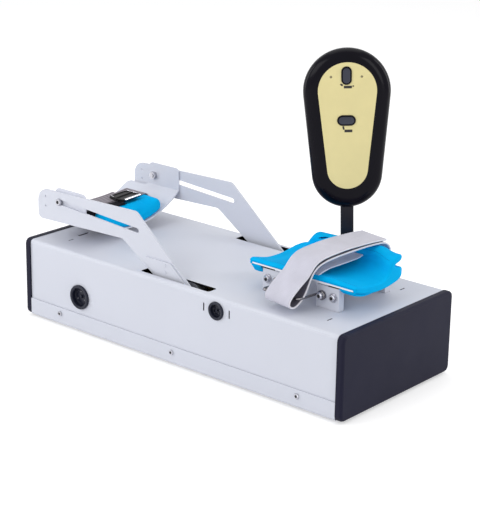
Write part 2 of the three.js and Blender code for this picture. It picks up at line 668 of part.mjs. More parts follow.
function ballBearing() {
  const { outer, width, groove, innerRing, outerRing } = bearing;
  const bore = shaft.radius + gap;
  const face = width / 2;
  const floor = face - groove;
  return turned([[bore, -face], [innerRing, -face], [innerRing, -floor], [outerRing, -floor],
    [outerRing, -face],
    [outer, -face], [outer, face], [outerRing, face], [outerRing, floor], [innerRing, floor],
    [innerRing, face],
    [bore, face], [bore, -face]]);
}

function addDrive() {
  piece('sector_gear', sectorGear(), brass).position.set(pivot.x, gear.y, pivotZ);
  piece('motor_pinion', motorPinion(), steel).position.set(pivot.x, gear.y, pinionZ);
  piece('gear_motor', gearMotor(), steel).position.set(pivot.x, motorBracket.y + gap, pinionZ);
  piece('motor_bracket', motorHolder(), zinc).position.set(pivot.x, motorBracket.y, 0);
  const blockMiddle = block.y + block.thickness / 2;
  const bearingMiddle = block.y + block.thickness - bearing.width / 2;
  for (const [name, side] of sides) {
    const blockMesh = piece(`bearing_block_${name}`, bearingBlock(),
      { color: colours.aluminium, metalness: 0.7 });
    blockMesh.position.set(pivot.x, side * blockMiddle, pivotZ);
    blockMesh.rotation.z = side < 0 ? Math.PI : 0;
    piece(`ball_bearing_${name}`, ballBearing(), steel).position.set(pivot.x, side * bearingMiddle, pivotZ);
  }
}

// Electronics on the floor of the pan
function controlBoard() {
  const { length, depth, thickness, standoff, standoffRadius, inset } = board;
  const top = standoff + thickness;
  const sunk = thickness / 2;
  const parts = [box(-length / 2, length / 2, -depth / 2, depth / 2, standoff, top)];
  for (const sideX of [-1, 1]) {
    for (const sideY of [-1, 1]) {
      const pillar = disc(standoffRadius, -standoff - sunk, 0).rotateX(Math.PI / 2);
      parts.push(pillar.translate(sideX * (length / 2 - inset), sideY * (depth / 2 - inset),
        standoff + sunk));
    }
  }
  for (const side of [-1, 1]) {
    const can = disc(board.capacitor, -sunk, board.capacitorHeight).rotateX(Math.PI / 2);
    parts.push(can.translate(-length / 2 + 2 * inset + board.capacitor, side * 2 * board.capacitor, top));
  }
  const finPitch = board.sink / board.fins;
  const sinkLeft = length / 2 - board.sink - inset;
  const sinkBack = depth / 2 - inset - board.sinkDepth;
  parts.push(box(sinkLeft, sinkLeft + board.sink, sinkBack, sinkBack + board.fin, top - sunk,
    top + board.sinkHeight));
  for (let i = 0; i < board.fins; i += 1) {
    const finX = sinkLeft + i * finPitch;
    parts.push(box(finX, finX + board.fin, sinkBack, sinkBack + board.sinkDepth, top - sunk,
      top + board.sinkHeight));
  }
  parts.push(box(0, board.plug, -depth / 2 + gap, -depth / 2 + board.plugDepth, top - sunk,
    top + board.plugHeight));
  parts.push(box(-board.chip / 2, board.chip / 2, -board.chip / 2, board.chip / 2, top - sunk,
    top + board.chipHeight));
  return join(...parts);
}

function powerSupply() {
  const { length, depth, height, edge, vents, ventWidth, ventDepth, terminal, terminalHeight } = supply;
  const loop = filletLoop([[-depth / 2, 0], [depth / 2, 0], [depth / 2, height, edge],
    [-depth / 2, height, edge]]);
  const body = plateYZ(loop, -length / 2, length / 2);
  const pitch = length / (vents + 1);
  const slots = Array.from({ length: vents }, (_, i) => {
    const x = -length / 2 + (i + 1) * pitch;
    return box(x, x + ventWidth, -depth / 4, depth / 4, height - ventDepth, height + overrun);
  });
  const shelf = box(-length / 2 - overrun, -length / 2 + terminal, -depth / 2 + edge, depth / 2 - edge,
    terminalHeight, height + overrun);
  return cut(body, shelf, ...slots);
}

function addElectronics() {
  const boardMesh = piece('control_board', controlBoard(), { color: colours.board });
  boardMesh.position.set(board.fromEnd - halfLength, board.y, seatZ);
  const supplyMesh = piece('power_supply', powerSupply(), zinc);
  supplyMesh.position.set(halfLength - supply.inset, supply.y, seatZ);
}

// Wrist carriage: a bent cradle between the arms, hung on two bolts that slide in the arm slots
function troughZ(y, below = 0) {
  return cradle.bottom + cradle.radius - Math.sqrt((cradle.radius - bracketSheet + below) ** 2 - y ** 2);
}

function spread(from, to, steps, at) {
  return Array.from({ length: steps + 1 }, (_, i) => at(THREE.MathUtils.lerp(from, to, i / steps)));
}

function wristCradle() {
  const under = (y) => new THREE.Vector2(y, troughZ(y, bracketSheet));
  const over = (y) => new THREE.Vector2(y, troughZ(y));
  const inner = earFace - bracketSheet;
  const section = [new THREE.Vector2(-earFace, cradle.earTop), ...spread(-earFace, earFace, 20, under),
    new THREE.Vector2(earFace, cradle.earTop), new THREE.Vector2(inner, cradle.earTop),
    ...spread(inner, -inner, 20, over), new THREE.Vector2(-inner, cradle.earTop)];
  const bent = plateYZ(section, cradle.left, cradle.right);
  const low = cradle.bottom - overrun;
  const outline = filletLoop([[cradle.left, low], [cradle.right, low],
    [cradle.right, cradle.earTop, cradle.corner],
    [cradle.earLeft, cradle.earTop, cradle.corner], [cradle.earLeft, cradle.shoulder, cradle.notch],
    [cradle.left, cradle.shoulder, cradle.corner]]);
  const blank = common(bent, plateXZ(outline, -earFace - overrun, earFace + overrun));
  const slots = sides.map(([, side]) => {
    const middle = wristStrap.left + wristStrap.width / 2;
    const loop = rectangle(middle, side * wristStrap.slotY, wristStrap.width + wristStrap.slotWidth,
      wristStrap.slotWidth);
    return plateXY(loop, low, 0);
  });
  return cut(blank, disc(carriageBolt.shank + gap, -earFace - overrun, earFace + overrun), ...slots);
}

function carriageBoltSolid() {
  const nutFrom = armFace + gap - (earFace - bracketSheet - gap);
  const nutTo = nutFrom + carriageBolt.nutHeight;
  const screw = screwSolid({ ...carriageBolt, length: nutTo + carriageBolt.tail });
  return join(screw, plateXZ(hexagon(carriageBolt.nutFlats), nutFrom, nutTo));
}

// A cushion in rings: a flat seat, drawn-in sides and a full crown, on a floor that may be curved
const cushionSquareness = 5;
const crownSquareness = 3;

function crownAt(share, pad) {
  const cosine = Math.min(1, share) ** (crownSquareness / 2);
  return pad.edge + pad.crown * Math.sqrt(1 - cosine ** 2) ** (2 / crownSquareness);
}

function cushion(pad, floorAt) {
  const around = 36;
  const rings = 7;
  const seatShares = [[0, 0], [0.55, 0], [0.9, 0], [0.975, 0.4]];
  const profile = seatShares.map(([share, lift]) => [share, lift * pad.edge]);
  for (let i = 0; i <= rings; i += 1) {
    const share = Math.cos(i / rings * Math.PI / 2) ** (2 / crownSquareness);
    profile.push([i === rings ? 0 : share, crownAt(i === rings ? 0 : share, pad)]);
  }
  const middle = (pad.left + pad.right) / 2;
  const halfWidth = (pad.right - pad.left) / 2;
  const power = 2 / cushionSquareness;
  const at = ([share, lift], angle) => {
    const [c, s] = [Math.cos(angle), Math.sin(angle)];
    const y = pad.half * share * Math.sign(s) * Math.abs(s) ** power;
    const x = middle + halfWidth * share * Math.sign(c) * Math.abs(c) ** power;
    return [x, y, floorAt(y) + gap + lift];
  };
  const loops = profile.map((entry) => Array.from({ length: around },
    (_, i) => at(entry, i * 2 * Math.PI / around)));
  return skin(loops);
}

// A closed skin through loops of equal length, its first and last loop closed by a fan or a flat cap
function skin(loops, capped = false) {
  const positions = [];
  const face = (a, b, c) => positions.push(...a, ...b, ...c);
  for (let i = 0; i + 1 < loops.length; i += 1) {
    loops[i].forEach((point, j) => {
      const k = (j + 1) % loops[i].length;
      face(point, loops[i][k], loops[i + 1][k]);
      face(point, loops[i + 1][k], loops[i + 1][j]);
    });
  }
  if (capped) {
    for (const [loop, flip] of [[loops[0], true], [loops[loops.length - 1], false]]) {
      const flat = loop.map(([, y, z]) => new THREE.Vector2(y, z));
      for (const [a, b, c] of THREE.ShapeUtils.triangulateShape(flat, [])) {
        if (flip) face(loop[a], loop[c], loop[b]);
        else face(loop[a], loop[b], loop[c]);
      }
    }
  }
  const geometry = new THREE.BufferGeometry();
  geometry.setAttribute('position', new THREE.Float32BufferAttribute(positions, 3));
  return geometryOf(solidOf(geometry));
}

// A line moved to its right by a distance; a closed one has no ends
function offsetLine(points, distance, closed = false) {
  const last = points.length - 1;
  return points.map((point, i) => {
    const before = points[closed ? (i + last) % points.length : Math.max(0, i - 1)];
    const after = points[closed ? (i + 1) % points.length : Math.min(last, i + 1)];
    const along = after.clone().sub(before).normalize();
    return new THREE.Vector2(point.x + along.y * distance, point.y - along.x * distance);
  });
}

// The strap runs over the pad, down through the slots and back under the trough.
function wristStrapSolid() {
  const { left, width, thickness, slotY } = wristStrap;
  const half = thickness / 2;
  const steps = 10;
  const padPoint = (i) => {
    const share = i === 0 ? 0 : Math.cos((1 - Math.abs(i)) * Math.PI / 2) ** (2 / crownSquareness);
    const y = wristPad.half * Math.sign(i) * share;
    return new THREE.Vector2(y, troughZ(y) + gap + crownAt(share, wristPad));
  };
  const over = offsetLine(spread(1, -1, 2 * steps, padPoint), 2 * gap + half);
  const under = (y) => new THREE.Vector2(y, troughZ(y, bracketSheet) - gap - half);
  const throughSlot = (side) => new THREE.Vector2(side * slotY, troughZ(slotY) + half);
  const line = [...over, throughSlot(-1), ...spread(-slotY, slotY, 12, under), throughSlot(1)];
  return plateYZ(offsetLine(line, half, true), left, left + width, [offsetLine(line, -half, true)]);
}

function wristBuckle() {
  const { length, depth, height, rim, bar, barX, corner } = buckle;
  const opening = depth - 2 * rim;
  const right = length / 2 - rim;
  const main = [-right, barX - bar / 2];
  const narrow = [barX + bar / 2, right];
  const windows = [main, narrow].map(([from, to]) => box(from, to, -opening / 2, opening / 2, -overrun,
    height + overrun));
  return cut(plateXY(rectangle(0, 0, length, depth, corner), 0, height), ...windows);
}

function addWrist() {
  const carriage = new THREE.Group();
  carriage.position.set(boltX, 0, boltZ);
  machine.add(carriage);
  piece('wrist_cradle', wristCradle(), paint, carriage);
  for (const [name, side] of sides) {
    const mesh = piece(`carriage_bolt_${name}`, carriageBoltSolid(), steel, carriage);
    mesh.position.y = side * (armFace + gap);
    mesh.rotation.z = side > 0 ? Math.PI : 0;
  }
  piece('wrist_pad', cushion(wristPad, troughZ), foam, carriage);
  piece('wrist_strap', wristStrapSolid(), webbing, carriage);
  const strapTop = (y) => troughZ(y) + crownAt(Math.abs(y) / wristPad.half, wristPad) + 4 * gap
    + wristStrap.thickness;
  const near = buckle.y - buckle.depth / 2;
  const far = buckle.y + buckle.depth / 2;
  const mesh = piece('wrist_buckle', wristBuckle(), { color: colours.rubber, roughness: 0.4 }, carriage);
  const slope = Math.atan2(strapTop(far) - strapTop(near), far - near);
  const chord = (y) => strapTop(near) + (y - near) * Math.tan(slope);
  const lift = Math.max(...spread(near, far, 8, (y) => strapTop(y) - chord(y)));
  mesh.position.set(wristStrap.left + buckle.x, buckle.y, chord(buckle.y) + lift);
  mesh.rotation.x = slope;
}

// Cuff: posts through the cover, a curved tray on them, and the padded wrap with its strap
const trayCentre = trayZ + cuff.radius;

function trayTop(y) {
  return trayCentre - Math.sqrt(cuff.radius ** 2 - y ** 2);
}

function trayUnder(y) {
  return trayCentre - Math.sqrt((cuff.radius + bracketSheet) ** 2 - y ** 2);
}

function trayBand(from, to, top, under, start, end) {
  const upper = spread(from, to, 12, (y) => new THREE.Vector2(y, top(y)));
  const lower = spread(to, from, 12, (y) => new THREE.Vector2(y, under(y)));
  return plateYZ([...upper, ...lower], start, end);
}

function cuffTray() {
  const parts = [trayBand(-cuff.half, cuff.half, trayTop, trayUnder, cuff.left, cuff.right)];
  const boltHeight = topZ + cuffBolt.rise;
  const low = boltHeight - lug.drop;
  const outer = post.half - bracketSheet - gap;
  const inner = outer - bracketSheet;
  const sunk = trayUnder(inner) + bracketSheet / 2;
  const shoulder = topZ + post.top - lug.shoulder;
  for (const left of post.lefts) {
    const right = left + lug.inset + lug.width;
    const neckLeft = left + lug.neckLeft;
    const neckRight = neckLeft + lug.neck;
    const loop = filletLoop([[left + lug.inset, low, lug.corner], [right, low, lug.corner],
      [right, shoulder, lug.corner], [neckRight, shoulder], [neckRight, sunk], [neckLeft, sunk],
      [neckLeft, shoulder], [left + lug.inset, shoulder]]);
    parts.push(plateXZ(loop, -outer, -inner), plateXZ(loop, inner, outer));
  }
  const bore = cuffBolt.shank + gap;
  const holes = cuffBolt.outerXs.map((x) => disc(bore, -cuff.half, cuff.half).translate(x, 0, boltHeight));
  cuffBolt.innerXs.forEach((x) => holes.push(disc(bore, -cuff.half, 0).translate(x, 0, boltHeight)));
  const corners = [cuff.left, cuff.right].map((end) => {
    const side = Math.sign(end);
    const middle = end - side * cuff.corner;
    const round = arcPoints(middle, cuff.half - cuff.corner, cuff.corner, end > 0 ? 0 : Math.PI,
      side * Math.PI / 2);
    const beyond = end + side * overrun;
    const loop = [new THREE.Vector2(beyond, cuff.half - cuff.corner), ...round,
      new THREE.Vector2(middle, cuff.half + overrun), new THREE.Vector2(beyond, cuff.half + overrun)];
    return plateXY(loop, trayZ - bracketSheet - overrun, trayTop(cuff.half) + overrun);
  });
  return cut(join(...parts), ...holes, ...corners);
}

function cuffFrame() {
  const plateTop = ceilingZ - gap;
  const plate = box(cuffPlate.left, cuffPlate.right, -cuffPlate.half, cuffPlate.half,
    plateTop - bracketSheet, plateTop);
  const posts = postPlaces.map(([left, y]) => plateXY(postOutline(left, y), plateTop - bracketSheet / 2,
    topZ + post.top));
  const boltHeight = topZ + cuffBolt.rise;
  const bore = cuffBolt.shank + gap;
  const reach = post.half + overrun;
  const holes = cuffBolt.outerXs.map((x) => disc(bore, -reach, reach).translate(x, 0, boltHeight));
  cuffBolt.innerXs.forEach((x) => holes.push(disc(bore, -reach, 0).translate(x, 0, boltHeight)));
  const seat = (y) => trayUnder(y) - gap;
  const roof = () => trayTop(cuff.half) + overrun;
  holes.push(trayBand(-cuff.half - gap, cuff.half + gap, roof, seat, cuffPlate.left, cuffPlate.right));
  return cut(join(plate, ...posts), ...holes);
}

// The inner front bolts stand out further, to hold the eyes of the bail.
function cuffBoltSolid(reach) {
  const nutFrom = gap + 2 * bracketSheet + 2 * gap;
  const nutTo = nutFrom + cuffBolt.nutHeight;
  const washer = disc(cuffBolt.washer, -cuffBolt.washerHeight, 0);
  const nutSolid = plateXZ(hexagon(cuffBolt.nutFlats), nutFrom, nutTo);
  const headSeat = reach + cuffBolt.washerHeight;
  const screw = screwSolid({ ...cuffBolt, length: headSeat + nutTo + cuffBolt.tail }).translate(0,
    -headSeat, 0);
  return join(washer, screw, nutSolid);
}

function bailSolid() {
  const y = -(post.half + 2 * gap + cuffBolt.washerHeight + bail.wire);
  const z = topZ + cuffBolt.rise;
  const eyeRadius = cuffBolt.shank + gap + bail.wire;
  const [leftEye, rightEye] = cuffBolt.innerXs;
  const besideHead = cuffBolt.head + 2 * gap + bail.wire;
  const barY = -post.half - bail.reach;
  const barZ = topZ + bail.rise;
  const corners = [[leftEye + besideHead, y, z], [bail.left, barY, barZ], [bail.right, barY, barZ],
    [rightEye - besideHead, y, z]].map((place) => new THREE.Vector3(...place));
  const towards = (from, to) => from.clone().add(to.clone().sub(from).setLength(bail.round));
  const route = new THREE.CurvePath();
  const [start, first, second, end] = corners;
  route.add(new THREE.LineCurve3(start, towards(first, start)));
  route.add(new THREE.QuadraticBezierCurve3(towards(first, start), first, towards(first, second)));
  route.add(new THREE.LineCurve3(towards(first, second), towards(second, first)));
  route.add(new THREE.QuadraticBezierCurve3(towards(second, first), second, towards(second, end)));
  route.add(new THREE.LineCurve3(towards(second, end), end));
  const section = new THREE.Shape(circle(0, 0, bail.wire));
  const wire = new THREE.ExtrudeGeometry(section, { steps: 20, extrudePath: route });
  const eyes = cuffBolt.innerXs.map((x) => new THREE.TorusGeometry(eyeRadius, bail.wire, 6, 12)
    .rotateX(Math.PI / 2).translate(x, y, z));
  const links = [[leftEye + eyeRadius, start.x], [end.x, rightEye - eyeRadius]]
    .map(([from, to]) => plateYZ(circle(y, z, bail.wire), from, to));
  const knees = [start, end].map((place) => new THREE.SphereGeometry(bail.wire, 8, 6)
    .translate(place.x, place.y, place.z));
  return join(wire, ...eyes, ...links, ...knees);
}

// The wrap's upper side from front to back, as shares of the tray's half depth and of the wrap's rise:
// lying flat at the left end, with its back flap standing up, and with the flap folded at the right end.
const flatShares = [[-1.06, 0.3], [-1.01, 0.41], [-0.9, 0.43], [-0.74, 0.36], [-0.37, 0.22], [0, 0.18],
  [0.33, 0.2], [0.56, 0.25], [0.66, 0.27], [0.72, 0.29], [0.8, 0.31], [0.88, 0.34], [0.95, 0.36],
  [1.01, 0.365], [1.05, 0.35], [1.07, 0.32], [1.08, 0.28], [1.09, 0.22], [1.06, 0.16]];
const flapShares = [[-1.06, 0.3], [-1.01, 0.45], [-0.9, 0.47], [-0.74, 0.4], [-0.37, 0.29], [0, 0.26],
  [0.33, 0.31], [0.56, 0.43], [0.66, 0.57], [0.69, 0.8], [0.76, 0.94], [0.88, 1], [1, 0.95], [1.05, 0.84],
  [1.03, 0.71], [0.91, 0.6], [1.04, 0.46], [1.1, 0.31], [1.06, 0.16]];
const foldShares = [[-1.06, 0.28], [-1.01, 0.4], [-0.9, 0.42], [-0.74, 0.35], [-0.37, 0.25], [0, 0.23],
  [0.14, 0.27], [0.26, 0.38], [0.33, 0.54], [0.39, 0.74], [0.5, 0.89], [0.66, 0.96], [0.8, 0.93],
  [0.85, 0.84], [0.79, 0.73], [0.52, 0.61], [0.88, 0.44], [1.06, 0.26], [1.05, 0.08]];

function smoothShare(value, from, to) {
  const share = THREE.MathUtils.clamp((value - from) / (to - from), 0, 1);
  return share * share * (3 - 2 * share);
}

// How far the wrap's ends draw in at its rounded back corners
function backInset(y) {
  const into = Math.max(0, Math.min(y, cuffPad.back) - cuffPad.back + cuffPad.corner);
  return cuffPad.corner - Math.sqrt(cuffPad.corner ** 2 - into ** 2);
}

function padSection(x) {
  const flap = smoothShare(x, cuffPad.flapStart, cuffPad.flapEnd);
  const climb = 1 + cuffPad.climb * ((x - cuffPad.left) / (cuffPad.right - cuffPad.left) - 1 / 2) * flap;
  const toEnd = Math.min(x - cuffPad.left, cuffPad.right - x);
  const swell = 1 - cuffPad.pinch * (1 - Math.sqrt(1 - (1 - Math.min(1, toEnd / cuffPad.round)) ** 2));
  const fold = smoothShare(x, cuffPad.foldStart, cuffPad.right - cuffPad.round);
  const share = (i, axis) => THREE.MathUtils.lerp(THREE.MathUtils.lerp(flatShares[i][axis],
    flapShares[i][axis], flap), foldShares[i][axis], fold);
  const upper = flatShares.map((_, i) => {
    const depth = share(i, 0) * cuff.half;
    const rise = share(i, 1) * climb * cuffPad.rise;
    const floor = trayTop(Math.min(Math.abs(depth), cuff.half)) - trayZ;
    return new THREE.Vector2(depth, trayZ + floor + (rise - floor) * swell);
  });
  const curve = new THREE.SplineCurve(upper).getPoints(32);
  const rim = cuff.half + gap;
  const seat = (y) => new THREE.Vector2(y, trayTop(Math.min(Math.abs(y), cuff.half)) + gap);
  const lobe = new THREE.Vector2(rim + gap, trayTop(cuff.half) - bracketSheet);
  const pull = (2 * (x - cuffPad.left) / (cuffPad.right - cuffPad.left) - 1) ** 3;
  return [...curve, lobe, ...spread(rim, -rim, 12, seat)].reverse()
    .map(({ x: y, y: z }) => [x - pull * backInset(y), y, z]);
}

function cuffPadSolid() {
  const { left, right, round, rollDrop, rollHeight } = cuffPad;
  const nearEnd = [0, 0.15, 0.5, 1].map((share) => share * round);
  const stations = [...nearEnd.map((step) => left + step), ...spread(cuffPad.flapStart, cuffPad.flapEnd, 6,
    (x) => x),
    ...spread(cuffPad.flapEnd, right - round, 5, (x) => x).slice(1, -1),
    ...nearEnd.reverse().map((step) => right - step)];
  const body = skin(stations.map(padSection), true);
  const rollTop = (y) => trayTop(y) + rollHeight - rollDrop;
  const rollUnder = (y) => trayTop(y) - rollDrop;
  const half = cuff.half - bracketSheet;
  const rolls = [[left + gap, cuff.left - gap], [cuff.right + gap, right - gap]]
    .map(([from, to]) => trayBand(-half, half - cuffPad.corner, rollTop, rollUnder, from, to));
  return join(body, ...rolls);
}

// The strap's centre line from its free end, as shares of the bail bar's reach and of the strap's crest:
// forward over the flap, down round the bar, and back up under itself to behind the flap.
const strapShares = [[0.711, 0.993], [0.467, 1.007], [0.067, 1.004], [-0.233, 0.975], [-0.478, 0.928],
  [-0.6, 0.86],
  [-0.678, 0.764], [-0.756, 0.645], [-0.885, 0.515], [-0.99, 0.386], [-1.052, 0.286], [-1.082, 0.19],
  [-1.065, 0.112],
  [-1, 0.08], [-0.933, 0.112], [-0.856, 0.203], [-0.789, 0.333], [-0.735, 0.493], [-0.688, 0.63],
  [-0.63, 0.735],
  [-0.54, 0.815], [-0.356, 0.88], [-0.011, 0.925], [0.289, 0.948], [0.556, 0.95], [0.689, 0.93],
  [0.767, 0.862],
  [0.8, 0.783], [0.79, 0.725]];

function cuffStrapSolid() {
  const reach = post.half + bail.reach;
  const line = new THREE.SplineCurve(strapShares.map(([y, z]) => new THREE.Vector2(y * reach,
    topZ + z * cuffStrap.crest)))
    .getSpacedPoints(60);
  const half = cuffStrap.thickness / 2;
  const band = plateYZ([...offsetLine(line, half), ...offsetLine(line, -half).reverse()], 0, cuffStrap.width);
  const shear = new THREE.Matrix4().set(1, cuffStrap.skew, 0, cuffStrap.left, 0, 1, 0, 0, 0, 0, 1, 0, 0, 0,
    0, 1);
  return geometryOf(solidOf(band.applyMatrix4(shear)));
}

function addCuff() {
  const group = new THREE.Group();
  group.position.x = cuffX;
  machine.add(group);
  piece('cuff_frame', cuffFrame(), paint, group);
  piece('cuff_tray', cuffTray(), paint, group);
  const eyeReach = 2 * (bail.wire + gap);
  const z = topZ + cuffBolt.rise;
  const place = (name, x, side, reach) => {
    const mesh = piece(name, cuffBoltSolid(reach), steel, group);
    mesh.position.set(x, side * (post.half + gap), z);
    mesh.rotation.z = side > 0 ? Math.PI : 0;
  };
  cuffBolt.outerXs.forEach((x, index) => {
    place(`cuff_bolt_front_${index + 1}`, x, -1, 0);
    place(`cuff_bolt_back_${index + 1}`, x, 1, 0);
  });
  cuffBolt.innerXs.forEach((x, index) => place(`bail_bolt_${index + 1}`, x, -1, eyeReach));
  piece('cuff_bail', bailSolid(), steel, group);
  piece('cuff_pad', cuffPadSolid(), foam, group);
  piece('cuff_strap', cuffStrapSolid(), loopTape, group);
}

// Handset: two moulded shells on a flat stalk, with a faceplate and two sprung buttons.
// It is built facing -Y with its foot at the origin, then turned to the user and leaned.
function hullLoop({ head, headZ, tail, tailZ }, inset = 0) {
  const lean = Math.asin((head - tail) / (headZ - tailZ));
  const base = stalk.length;
  return [...arcPoints(0, base + headZ, head - inset, -lean, Math.PI + 2 * lean),
    ...arcPoints(0, base + tailZ, tail - inset, Math.PI + lean, Math.PI - 2 * lean)];
}

function handsetBody() {
  const { depth, edge, roll } = handset;
  const bevel = { depth: depth - 2 * edge, bevelSize: roll, bevelOffset: -roll, bevelThickness: edge,
    bevelSegments: 4 };
  return new THREE.ExtrudeGeometry(new THREE.Shape(hullLoop(handset)), bevel)
    .translate(0, 0, edge - depth / 2).rotateX(Math.PI / 2);
}

function handsetHollow() {
  const inner = handset.depth / 2 - handset.wall;
  return plateXZ(hullLoop(handset, handset.roll), -inner, inner);
}

function handsetHalf(from, to) {
  const reach = handset.head + handset.headZ + stalk.length;
  return common(cut(handsetBody(), handsetHollow()), box(-reach, reach, from, to, 0, reach + overrun));
}

const frontY = -handset.depth / 2;

function buttonLoop(sizes, grow = 0) {
  return pill(sizes.x, stalk.length + sizes.z, sizes.width + 2 * grow, sizes.height + 2 * grow);
}

function handsetFront() {
  const recess = plateXZ(hullLoop(face, -gap), frontY - overrun, frontY + face.thickness + gap);
  const bores = [buttonUp, buttonDown].map((sizes) => plateXZ(buttonLoop(sizes, button.play),
    frontY - overrun, frontY + handset.wall + overrun));
  return cut(handsetHalf(frontY - overrun, -gap / 2), recess, ...bores);
}

function handsetBack() {
  const stem = box(-stalk.width / 2 - gap, stalk.width / 2 + gap, -stalk.thickness / 2 - gap,
    stalk.thickness / 2 + gap, 0, stalk.length + stalk.into + gap);
  return [cut(handsetHalf(gap / 2, handset.depth / 2 + overrun), stem), stem];
}

function facePlate() {
  const height = stalk.length + lamp.z;
  const holes = [...[buttonUp, buttonDown].map((sizes) => buttonLoop(sizes, button.play)),
    circle(lamp.left, height, lamp.radius), circle(lamp.right, height, lamp.radius)];
  return plateXZ(hullLoop(face), frontY, frontY + face.thickness, holes);
}

function pushButton(sizes) {
  const crownTop = plateXZ(buttonLoop(sizes, -button.crown), frontY - button.proud, frontY);
  const barrel = plateXZ(buttonLoop(sizes), frontY - button.proud + button.crown,
    frontY + handset.wall + 2 * gap);
  const flangeFrom = frontY + handset.wall + gap;
  const flange = plateXZ(buttonLoop(sizes, button.flange), flangeFrom, flangeFrom + button.flangeHeight);
  return join(crownTop, barrel, flange);
}

function stemSolid() {
  const half = stalk.thickness / 2;
  const loop = rectangle(0, 0, stalk.width, stalk.thickness, half / 2);
  return plateXY(loop, stemFoot.height + 2 * gap, stalk.length + stalk.into);
}

// The foot is a plate on the cover with a leaning sleeve for the stalk.
function stemFootSolid() {
  const { half, depth, height, sleeve, wall, screw } = stemFoot;
  const holes = [-1, 1].map((side) => circle(side * screw, 0, stemScrew.shank + gap));
  const plate = plateXY(rectangle(0, 0, 2 * half, 2 * depth, wall), gap, height, holes);
  const outer = rectangle(0, 0, stalk.width + 2 * (wall + gap) - wall, stalk.thickness + 2 * (wall + gap),
    wall / 2);
  const tube = plateXY(outer, height / 2, sleeve).rotateY(-stalkLean);
  const inside = rectangle(0, 0, stalk.width + 2 * gap, stalk.thickness + 2 * gap);
  return cut(join(plate, tube), plateXY(inside, stemFoot.height, sleeve + overrun).rotateY(-stalkLean));
}

function addHandset() {
  const base = new THREE.Group();
  base.position.set(cuffX + stalk.x, stalk.y, topZ);
  base.rotation.z = stalkTurn;
  machine.add(base);
  piece('stem_foot', stemFootSolid(), { color: colours.plastic, roughness: 0.5 }, base);
  for (const [name, side] of ends) {
    const screw = piece(`stem_screw_${name}`, screwSolid(stemScrew), steel, base);
    screw.position.set(side * stemFoot.screw, 0, stemFoot.height + gap);
    screw.rotation.x = -Math.PI / 2;
  }
  const leaning = new THREE.Group();
  leaning.rotation.y = -stalkLean;
  base.add(leaning);
  const [back, stemBore] = handsetBack();
  piece('handset_stem', stemSolid(), gloss, leaning);
  piece('handset_back', back, gloss, leaning);
  piece('handset_front', cut(handsetFront(), stemBore), gloss, leaning);
  piece('faceplate', facePlate(), { color: colours.faceplate, roughness: 0.5 }, leaning);
  piece('button_up', pushButton(buttonUp), gloss, leaning);
  piece('button_down', pushButton(buttonDown), gloss, leaning);
}

addBox();
addSockets();
addSwingFrame();
addDrive();
addElectronics();
addWrist();
addCuff();
addHandset();

export default machine;
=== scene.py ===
import json
import math
import bmesh
import bpy
from mathutils import Matrix, Vector
from mathutils.geometry import delaunay_2d_cdt


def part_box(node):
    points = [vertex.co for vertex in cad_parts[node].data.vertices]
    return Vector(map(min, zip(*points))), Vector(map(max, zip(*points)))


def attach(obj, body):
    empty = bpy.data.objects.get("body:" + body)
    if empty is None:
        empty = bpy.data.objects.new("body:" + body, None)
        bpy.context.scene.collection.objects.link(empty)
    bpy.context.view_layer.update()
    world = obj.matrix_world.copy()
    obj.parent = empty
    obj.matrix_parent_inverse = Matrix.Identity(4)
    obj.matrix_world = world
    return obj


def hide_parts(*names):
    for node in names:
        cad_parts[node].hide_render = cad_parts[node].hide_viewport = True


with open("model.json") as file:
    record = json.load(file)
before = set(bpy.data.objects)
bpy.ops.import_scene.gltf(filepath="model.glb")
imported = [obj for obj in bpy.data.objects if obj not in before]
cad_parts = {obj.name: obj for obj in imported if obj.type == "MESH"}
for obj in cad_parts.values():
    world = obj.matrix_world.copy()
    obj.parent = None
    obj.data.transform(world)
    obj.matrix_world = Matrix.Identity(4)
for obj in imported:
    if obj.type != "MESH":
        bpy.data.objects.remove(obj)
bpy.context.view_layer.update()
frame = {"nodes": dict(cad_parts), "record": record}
nodes = frame["nodes"]
mm = 0.001
coverLow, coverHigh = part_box("top_cover")
frontFace, lidTop = round(coverLow.y / mm, 2), round(coverHigh.z / mm, 2)
print("frame loaded:", len(nodes), "solids, front at", frontFace, "and lid at", lidTop)


def addObject(name, data):
    thing = bpy.data.objects.new(name, data)
    bpy.context.scene.collection.objects.link(thing)
    return thing


# camera, light and ground, in metres and watts

cameraView = {
    "place": (1.4026, -1.6136, 0.8458),
    "right": (0.7554, 0.6550, 0.0147),
    "down": (0.2183, -0.2304, -0.9483),
    "ahead": (-0.6178, 0.7196, -0.3170),
    "focalPixels": 1658.2,
    "pixelsWide": 480,
    "filmWidth": 36,
    "clip": (0.05, 60),
}


def makeCamera(view):
    data = bpy.data.cameras.new("studioCamera")
    data.sensor_fit = "HORIZONTAL"
    data.sensor_width = view["filmWidth"]
    data.lens = view["filmWidth"] * view["focalPixels"] / view["pixelsWide"]
    data.clip_start, data.clip_end = view["clip"]
    camera = addObject("studioCamera", data)
    right, down, ahead = (Vector(view[key]).normalized() for key in ("right", "down", "ahead"))
    turn = Matrix((right, -down, -ahead)).transposed()
    camera.matrix_world = Matrix.Translation(view["place"]) @ turn.to_4x4()
    bpy.context.scene.camera = camera


lampPlan = {
    # name: place, aim, width, height, power
    "frontSoftbox": ((-0.5, -2.3, 1.5), (0.0, 0.0, 0.1), 1.8, 1.4, 21),
    "sideSoftbox": ((2.4, -0.6, 1.0), (0.1, 0.0, 0.15), 0.7, 1.8, 10),
    "topSoftbox": ((-0.3, 0.4, 2.6), (0.0, 0.0, 0.1), 2.2, 2.0, 13),
    "leftStrip": ((-1.5, -0.9, 0.7), (0.13, 0.07, 0.3), 0.22, 1.4, 7),
    "rightStrip": ((1.0, 1.1, 0.7), (0.15, 0.07, 0.3), 0.22, 1.4, 6),
}


